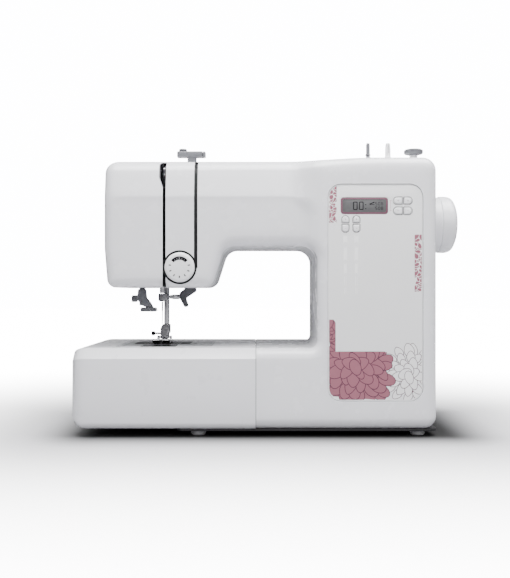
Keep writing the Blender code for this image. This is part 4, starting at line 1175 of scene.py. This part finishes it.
toe_gap_corners = [(-119.4, -30, 0.1), (-115.8, -30, 0.1), (-116.8, -12, 0.1), (-118.4, -12, 0.1)]
toe_gap = pillow("top", toe_gap_corners, 85, 99)
corner_cuts = [
    pillow("top", [(-129, -30, 0.1), (-124.5, -30, 0.1), (-129, -20, 0.1)], 85, 99),
    pillow("top", [(-106, -30, 0.1), (-106, -20, 0.1), (-110.5, -30, 0.1)], 85, 99),
]
foot_mesh = carve(foot_mesh, [needle_window, toe_gap] + corner_cuts)
show("presser_foot_sole", foot_mesh, chrome, "foot_body", ["presser_foot"], 30)

# ---------------------------------------------------------------- presser lever
# The lever behind the head that lifts the foot: grey plastic, forked at its lower end for the
# thumb, on a pin through the rear cover.
trim_plastic = plastic("trim_plastic", (0.125, 0.128, 0.14), 0.38, 0.004, coat=0.1)
lever_outline = [
    (-104.6, 138.6, 2.4), (-98.6, 127.4, 2.4), (-93.4, 128.8, 2.4), (-96.6, 138.4, 2), (-84.4, 146.4, 2.6),
    (-85.2, 152.6, 2.6), (-91.5, 153.5, 3), (-91, 171, 4), (-101, 171, 4), (-101, 156, 3), (-96.6, 151.6, 3),
    (-104.8, 144.4, 2.4),
]
lever_mesh = pillow("front", lever_outline, -51, -46, (1.4, 1.4), steps=4)
lever_pin = lathe("Y", (-96, 166), soft([(0, 22, 0), (4, 22, 0.5), (4, 47, 0), (0, 47, 0)], 3), 32)
lever_mesh = carve(lever_mesh, [lever_pin], "UNION")
show("presser_lever_arm", lever_mesh, trim_plastic, "lever_body", ["presser_lever"], 30)

# ---------------------------------------------------------------- needle threader
# A grey arm at the needle's left that is pulled down by its finger tab to bring a fine wire hook
# through the needle's eye. It slides on a square stem in the head.
stem_mesh = pillow("top", frame_of((-142, -136), (-18, -12), 1.0), 131, 200, (0.5, 0.8), steps=2)
threader_outline = [
    (-150, 134.6, 1.6), (-144.4, 134.6, 1.2), (-143.4, 137.6, 1), (-140, 131.5, 2), (-133, 128.4, 2),
    (-129, 124.2, 1.2), (-125.4, 124.2, 1.2), (-126.4, 129, 1.5), (-129.5, 134.5, 2), (-133.5, 139.5, 2),
    (-134.4, 149, 2), (-143, 149, 2), (-143.6, 142.2, 1), (-150, 142.2, 1.6),
]
threader_mesh = pillow("front", threader_outline, 15, 22, (1.2, 1.4), steps=3)
cross_arm = pillow("front", frame_of((-140, -122.4), (124.4, 129), 1.5), 18.5, 24, (0.8, 0.8), steps=3)
threader_mesh = carve(threader_mesh, [stem_mesh, cross_arm], "UNION")
ridges = [block((-149.4 + step * 1.5, -148.8 + step * 1.5), (-22.6, -21.7), (137, 142)) for step in range(4)]
threader_mesh = carve(threader_mesh, ridges)
show("threader_arm", threader_mesh, trim_plastic, "threader_body", ["needle_threader"], 30)
guide_wire = lathe("X", (-20.5, 126), [(0, -124), (0.45, -124), (0.45, -121.2), (0, -121.2)], 12)
show("threader_hook", guide_wire, steel, "threader_body")

# ---------------------------------------------------------------- take-up lever
# A pressed and chromed lever that pulls the thread tight after each stitch, pivoted on the frame
# and coming forward into the wide upper part of the left slot.
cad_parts["take_up_lever"].data.materials[0] = chrome

# ---------------------------------------------------------------- handwheel
# The wheel at the right end of the main shaft, for turning the needle by hand. One hollow white
# moulding with a smooth rim, a parting groove and a shallow dish in its outer face.
wheel_profile = soft([
    (0, 188, 0), (5.3, 188, 0), (5.3, 173.2, 0), (26, 173.2, 1.5), (28.6, 176, 1.2), (29.9, 182.0, 0.2),
    (29.3, 182.4, 0.2), (29.3, 183.0, 0.2), (30.7, 183.6, 0.6), (30.8, 192.5, 3.0), (28.4, 197.2, 2.4),
    (22.0, 200.4, 3.0), (12, 202.2, 3.0), (0, 202.6, 0),
])
wheel_mesh = lathe("X", (-11, 219), wheel_profile, 128)
show("handwheel_rim", wheel_mesh, white_plastic, "drive", ["handwheel"], 34)

# ---------------------------------------------------------------- top thread guide
# A grey moulded guide for the thread on its way from the spool, clipped into the top of the head
# on a short stub, with a small pre-tension cap at its left end.
guide_mesh = pillow("top", frame_of((-99.7, -69), (-34, -22), 3), 290, 296, (0.6, 1.2), steps=3)
guide_stub = pillow("top", frame_of((-88.5, -79), (-33, -23), 2), 283.2, 291)
guide_groove = block((-72.4, -71.4), (-40, -28), (286, 300))
guide_mesh = carve(carve(guide_mesh, [guide_stub], "UNION"), [guide_groove])
show("thread_guide_plate", guide_mesh, trim_plastic, "root", ["thread_guide"], 30)
cap_profile = soft([
    (0, 295.5, 0), (3.2, 295.5, 0), (3.2, 296.6, 0.2), (4.3, 297, 0.3), (4.3, 298.4, 0.5), (3.6, 299, 0.3),
    (0, 299, 0),
], 3)
cap_mesh = lathe("Z", (-93.5, -28), cap_profile, 36)
show("thread_guide_cap", cap_mesh, trim_plastic, "root")

# ---------------------------------------------------------------- spool pin
# A grey pin that holds the thread spool and folds over to the front, in a low boss on the top
# of the arm. It has a small flange at its foot.
SPOOL_AT = (106.2, -20)
boss_profile = soft([(0, 282, 0), (6.4, 282, 0), (6.0, 285.2, 0.6), (5.0, 286, 0.3), (0, 286, 0)], 3)
boss_mesh = lathe("Z", SPOOL_AT, boss_profile, 40)
show("spool_pin_boss", boss_mesh, white_plastic, "root")
pin_profile = soft([(0, 288, 0), (2.2, 288, 0), (2.1, 304.6, 0.4), (1.7, 307, 0.8), (0, 307, 0)], 4)
barrel_profile = soft([(0, -23.4, 0), (3, -23.4, 0.4), (3, -16.6, 0.4), (0, -16.6, 0)], 3)
pin_barrel = lathe("Y", (SPOOL_AT[0], 289.3), barrel_profile, 32)
flange_profile = soft([(0, 293, 0), (2.9, 293.4, 0.3), (2.9, 294.4, 0.3), (2.2, 295, 0.2), (0, 295, 0)], 3)
pin_flange = lathe("Z", SPOOL_AT, flange_profile, 32)
pin_mesh = carve(lathe("Z", SPOOL_AT, pin_profile, 32), [pin_barrel, pin_flange], "UNION")
show("spool_pin_rod", pin_mesh, trim_plastic, "spool_pin_body", ["spool_pin"], 30)

# ---------------------------------------------------------------- bobbin winder
# A white spindle with a spring notch and a conical seat for the bobbin, on a carriage that is
# pushed to the right to wind. A grey stop disc beside it sets how full the bobbin gets.
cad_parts["winder_carriage"].data.materials[0] = trim_plastic
spindle_profile = soft([
    (0, 307, 0), (1.7, 307, 0.5), (2.5, 305.4, 0.6), (2.9, 300, 0.5), (2.9, 292.5, 0.5), (4.6, 288.6, 0.4),
    (4.8, 286, 0.4), (3, 285, 0), (3, 272, 0), (0, 272, 0),
], 3)
spring_notch = block((127.4, 128.2), (-26, -14), (296, 309))
spindle_mesh = carve(lathe("Z", (127.8, -20), spindle_profile, 40), [spring_notch])
show("winder_spindle", spindle_mesh, key_plastic, "winder_body", ["bobbin_winder"], 30)
STOP_AT = (152.3, -36)
stop_profile = soft([
    (0, 297, 0), (8.4, 297, 0.4), (10, 296, 0.5), (10, 293, 0.5), (9, 292, 0.3), (5.4, 292, 0.3),
    (4.6, 291, 0.3),
], 3)
stop_profile += [Vector((4.6, 290.6)), Vector((0, 290.6))]
stop_mesh = lathe("Z", STOP_AT, stop_profile, 64)
knurls = []
for step in range(24):
    angle = 2 * math.pi * step / 24
    at = (STOP_AT[0] + 10.25 * math.cos(angle), STOP_AT[1] + 10.25 * math.sin(angle))
    knurls.append(lathe("Z", at, [(0, 292.6), (0.7, 292.6), (0.7, 296.4), (0, 296.4)], 8))
show("winder_stop_disc", carve(stop_mesh, knurls), trim_plastic, "root", ["winder_stop"], 30)
stem_profile = soft([(0, 283.5, 0), (5.4, 283.5, 0), (4.4, 286.4, 0.5), (4.0, 290.6, 0), (0, 290.6, 0)], 3)
show("winder_stop_stem", lathe("Z", STOP_AT, stem_profile, 40), key_plastic, "root")

# ---------------------------------------------------------------- carry handle
# A white bow handle let into a well behind the top edge. It turns up on two short pins.
handle_mesh = pillow("side", frame_of((28.6, 41), (270, 282), 5), -60, 70, (1.0, 1.0), steps=3)
arm_side = [(-4, 273, 3.9), (36, 272, 3.9), (36, 281.6, 3.9), (-4, 281, 3.9)]
for low, outer in ((-60, -66.8), (62, 76.8)):
    arm = pillow("side", arm_side, low, low + 8, (1.0, 1.0), steps=3)
    near, far = min(outer, low + 4), max(outer, low + 4)
    pin = lathe("X", (0, 277), [(0, near), (2.5, near), (2.5, far), (0, far)], 24)
    handle_mesh = carve(handle_mesh, [arm, pin], "UNION")
show("handle_bow", handle_mesh, white_plastic, "handle_body", ["handle"], 30)

# ---------------------------------------------------------------- thread cutter and lamp
# A small grey hook with a blade on the head's left side cuts the thread. Under the head, a lamp
# with a clear lens lights the needle.
cutter_outline = [(-174, 168.2, 1.2), (-170.3, 168.2, 0.4), (-170.3, 181.8, 0.4), (-174, 181.8, 1.6)]
cutter_mesh = pillow("front", cutter_outline, 5, 20, (0.8, 0.8), steps=3)
cutter_mesh = carve(cutter_mesh, [block((-173.1, -171.8), (-22, -12), (172, 178))])
show("thread_cutter_hook", cutter_mesh, trim_plastic, "root", ["thread_cutter"], 30)
blade_mesh = block((-172.7, -172.3), (-17, -12), (172.6, 177.4))
show("thread_cutter_blade", blade_mesh, steel, "root")
lens_material, lens_tree, lens_shader = new_material("lamp_lens", (0.9, 0.9, 0.86), 0.18)
tinted(lens_tree, lens_shader, grain(lens_tree, 300.0), (0.84, 0.84, 0.80), (0.93, 0.93, 0.89))
lens_shader.inputs["Transmission Weight"].default_value = 0.5
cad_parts["led_lamp"].data.materials[0] = lens_material

# ---------------------------------------------------------------- switch and mains inlet
# A black rocker switch and a two-pin inlet for a mains lead, side by side low in the right wall.
rocker_side = [
    (162, 42.5, 1), (170.0, 42.5, 1), (170.9, 47, 2), (170.2, 52, 12), (171.2, 57, 2), (171.1, 61.5, 1),
    (162, 61.5, 1),
]
rocker_mesh = pillow("front", rocker_side, -12, 0, (0.4, 0.4), steps=2)
show("power_rocker", rocker_mesh, black_plastic, "switch_body", ["power_switch"], 30)
rocker_marks = [strip((6, 56.4), (6, 59.0), 0.5)]
ring = []
for step in range(16):
    angle = step * math.pi / 8
    ring.append(Vector((6 + 1.3 * math.cos(angle), 46.5 + 1.3 * math.sin(angle))))
rocker_marks += [strip(ring[index - 1], ring[index], 0.4) for index in range(16)]
show("power_marks", inked(rocker_marks, 171.3, "side"), light_ink, "switch_body")
socket_mesh = pillow("side", frame_of((16, 36), (40, 62), 2), 150, 170.1, (0.0, 0.6), steps=2)
socket_mesh = carve(socket_mesh, [pillow("side", frame_of((19, 33), (43, 59), 4), 153, 175)])
show("inlet_body", socket_mesh, black_plastic, "root", ["socket_block"], 30)
for number, y in enumerate((23, 29), 1):
    pin_profile = soft([(0, 152, 0), (1.2, 152, 0), (1.2, 166, 0.5), (0, 166, 0)], 3)
    show(f"inlet_pin_{number}", lathe("X", (y, 51), pin_profile, 20), steel, "root")

# ---------------------------------------------------------------- bottom plate and feet
# A plate closes the base from below, held by six screws, coloured near black as painted shade for
# the shadow under the machine. Four soft rubber feet are pressed into it.
# Near black, as painted shade under the machine.
base_plastic = plastic("base_plastic", (0.035, 0.035, 0.038), 0.55)
base_mesh = pillow("top", frame_of((-95, 168), (-78, 78), 6), 5, 7.7, (0.8, 0.0), steps=2)
vents = []
for row in range(2):
    for step in range(10):
        x = 20 + step * 6
        vents.append(pillow("top", frame_of((x, x + 2.4), (-40 + row * 44, -10 + row * 44), 1.2), 0, 12))
show("base_cover_plate", carve(base_mesh, vents), base_plastic, "root", ["bottom_plate"], 30)
rubber_grey = plastic("rubber_grey", (0.42, 0.42, 0.43), 0.75, 0.01)
foot_profile = soft([(0, 4.9, 0), (8.4, 4.9, 0), (7.6, 1.2, 0.8), (6.8, 0, 0.5), (0, 0, 0)], 3)
for number, at in enumerate(((-74, -66), (150, -66), (-74, 66), (150, 66)), 1):
    foot_rubber = lathe("Z", at, foot_profile, 40)
    show(f"rubber_foot_{number}", foot_rubber, rubber_grey, "root", [f"foot_{number}"])
for number, at in enumerate(((-86, -70), (36, -70), (160, -50), (-86, 70), (36, 70), (160, 50)), 1):
    head = lathe("Z", at, [(0, 5.4), (3.2, 5.4), (3.2, 4.6), (2.4, 4.2), (0, 4.2)], 28)
    show(f"base_screw_{number}", head, steel, "root")

# ---------------------------------------------------------------- frame and shafts
# The aluminium frame carries the bearings. The main shaft turns in it with its crank, and
# drives the lower shaft through a toothed belt; both are ground steel.
cast_metal, cast_tree, cast_shader = new_material("cast_aluminium", (0.50, 0.51, 0.52), 0.5, 1.0)
tinted(cast_tree, cast_shader, grain(cast_tree, 40.0), (0.42, 0.43, 0.44), (0.54, 0.55, 0.56))
bumped(cast_tree, cast_shader, grain(cast_tree, 900.0, 3.0), 0.05)
ground_steel = metal("ground_steel", (0.60, 0.60, 0.61), 0.24, (0.05, 1.0, 1.0))
for name in ("frame_casting", "feed_bar"):
    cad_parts[name].data.materials[0] = cast_metal
for name in ("main_shaft", "lower_shaft", "needle_link", "hook", "motor_pulley", "feed_dog"):
    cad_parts[name].data.materials[0] = ground_steel

# ---------------------------------------------------------------- motor, pulleys and belts
# The motor low in the column turns a black main pulley by a rubber belt. Its can is drawn steel.
belt_rubber = plastic("belt_rubber", (0.02, 0.02, 0.02), 0.8, 0.02)
pulley_black = plastic("pulley_plastic", (0.03, 0.03, 0.032), 0.45)
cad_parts["motor"].data.materials[0] = metal("motor_can", (0.45, 0.45, 0.46), 0.35, (0.05, 1.0, 1.0))
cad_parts["main_pulley"].data.materials[0] = pulley_black
for name in ("drive_belt", "timing_belt"):
    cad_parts[name].data.materials[0] = belt_rubber

# ---------------------------------------------------------------- bobbin, case and feed lever
# A clear bobbin drops into the black case inside the hook. At the back of the free arm, a grey
# slide drops the feed teeth below the plate.
clear, clear_tree, clear_shader = new_material("clear_plastic", (0.88, 0.9, 0.92), 0.1)
tinted(clear_tree, clear_shader, grain(clear_tree, 200.0), (0.84, 0.86, 0.88), (0.92, 0.94, 0.96))
clear_shader.inputs["Transmission Weight"].default_value = 0.8
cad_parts["bobbin"].data.materials[0] = clear
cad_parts["bobbin_case"].data.materials[0] = black_plastic
tab_mesh = pillow("back", frame_of((-60, -52), (56, 62), 1), 25, 32.6, (0.0, 0.6), steps=3)
show("drop_feed_tab", tab_mesh, trim_plastic, "drop_feed_body", ["drop_feed_lever"], 30)

# ---------------------------------------------------------------- circuit board
# The green board behind the panel carries the display and the key contacts, with copper tracks
# under its lacquer.
board_green, board_tree, board_shader = new_material("circuit_board", (0.02, 0.12, 0.05), 0.4)
tracks = board_tree.nodes.new("ShaderNodeTexBrick")
tracks.inputs["Color1"].default_value = (0.015, 0.10, 0.04, 1.0)
tracks.inputs["Color2"].default_value = (0.02, 0.13, 0.055, 1.0)
tracks.inputs["Mortar"].default_value = (0.05, 0.22, 0.10, 1.0)
tracks.inputs["Scale"].default_value = 90.0
board_place = board_tree.nodes.new("ShaderNodeTexCoord")
board_turn = board_tree.nodes.new("ShaderNodeMapping")
board_turn.inputs["Rotation"].default_value = (math.radians(90), 0.0, 0.0)
board_tree.links.new(board_place.outputs["Object"], board_turn.inputs["Vector"])
board_tree.links.new(board_turn.outputs["Vector"], tracks.inputs["Vector"])
board_tree.links.new(tracks.outputs["Color"], board_shader.inputs["Base Color"])
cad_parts["circuit_board"].data.materials[0] = board_green

size = {"cad": cad_box, "visual": [list(corner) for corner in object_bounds()]}
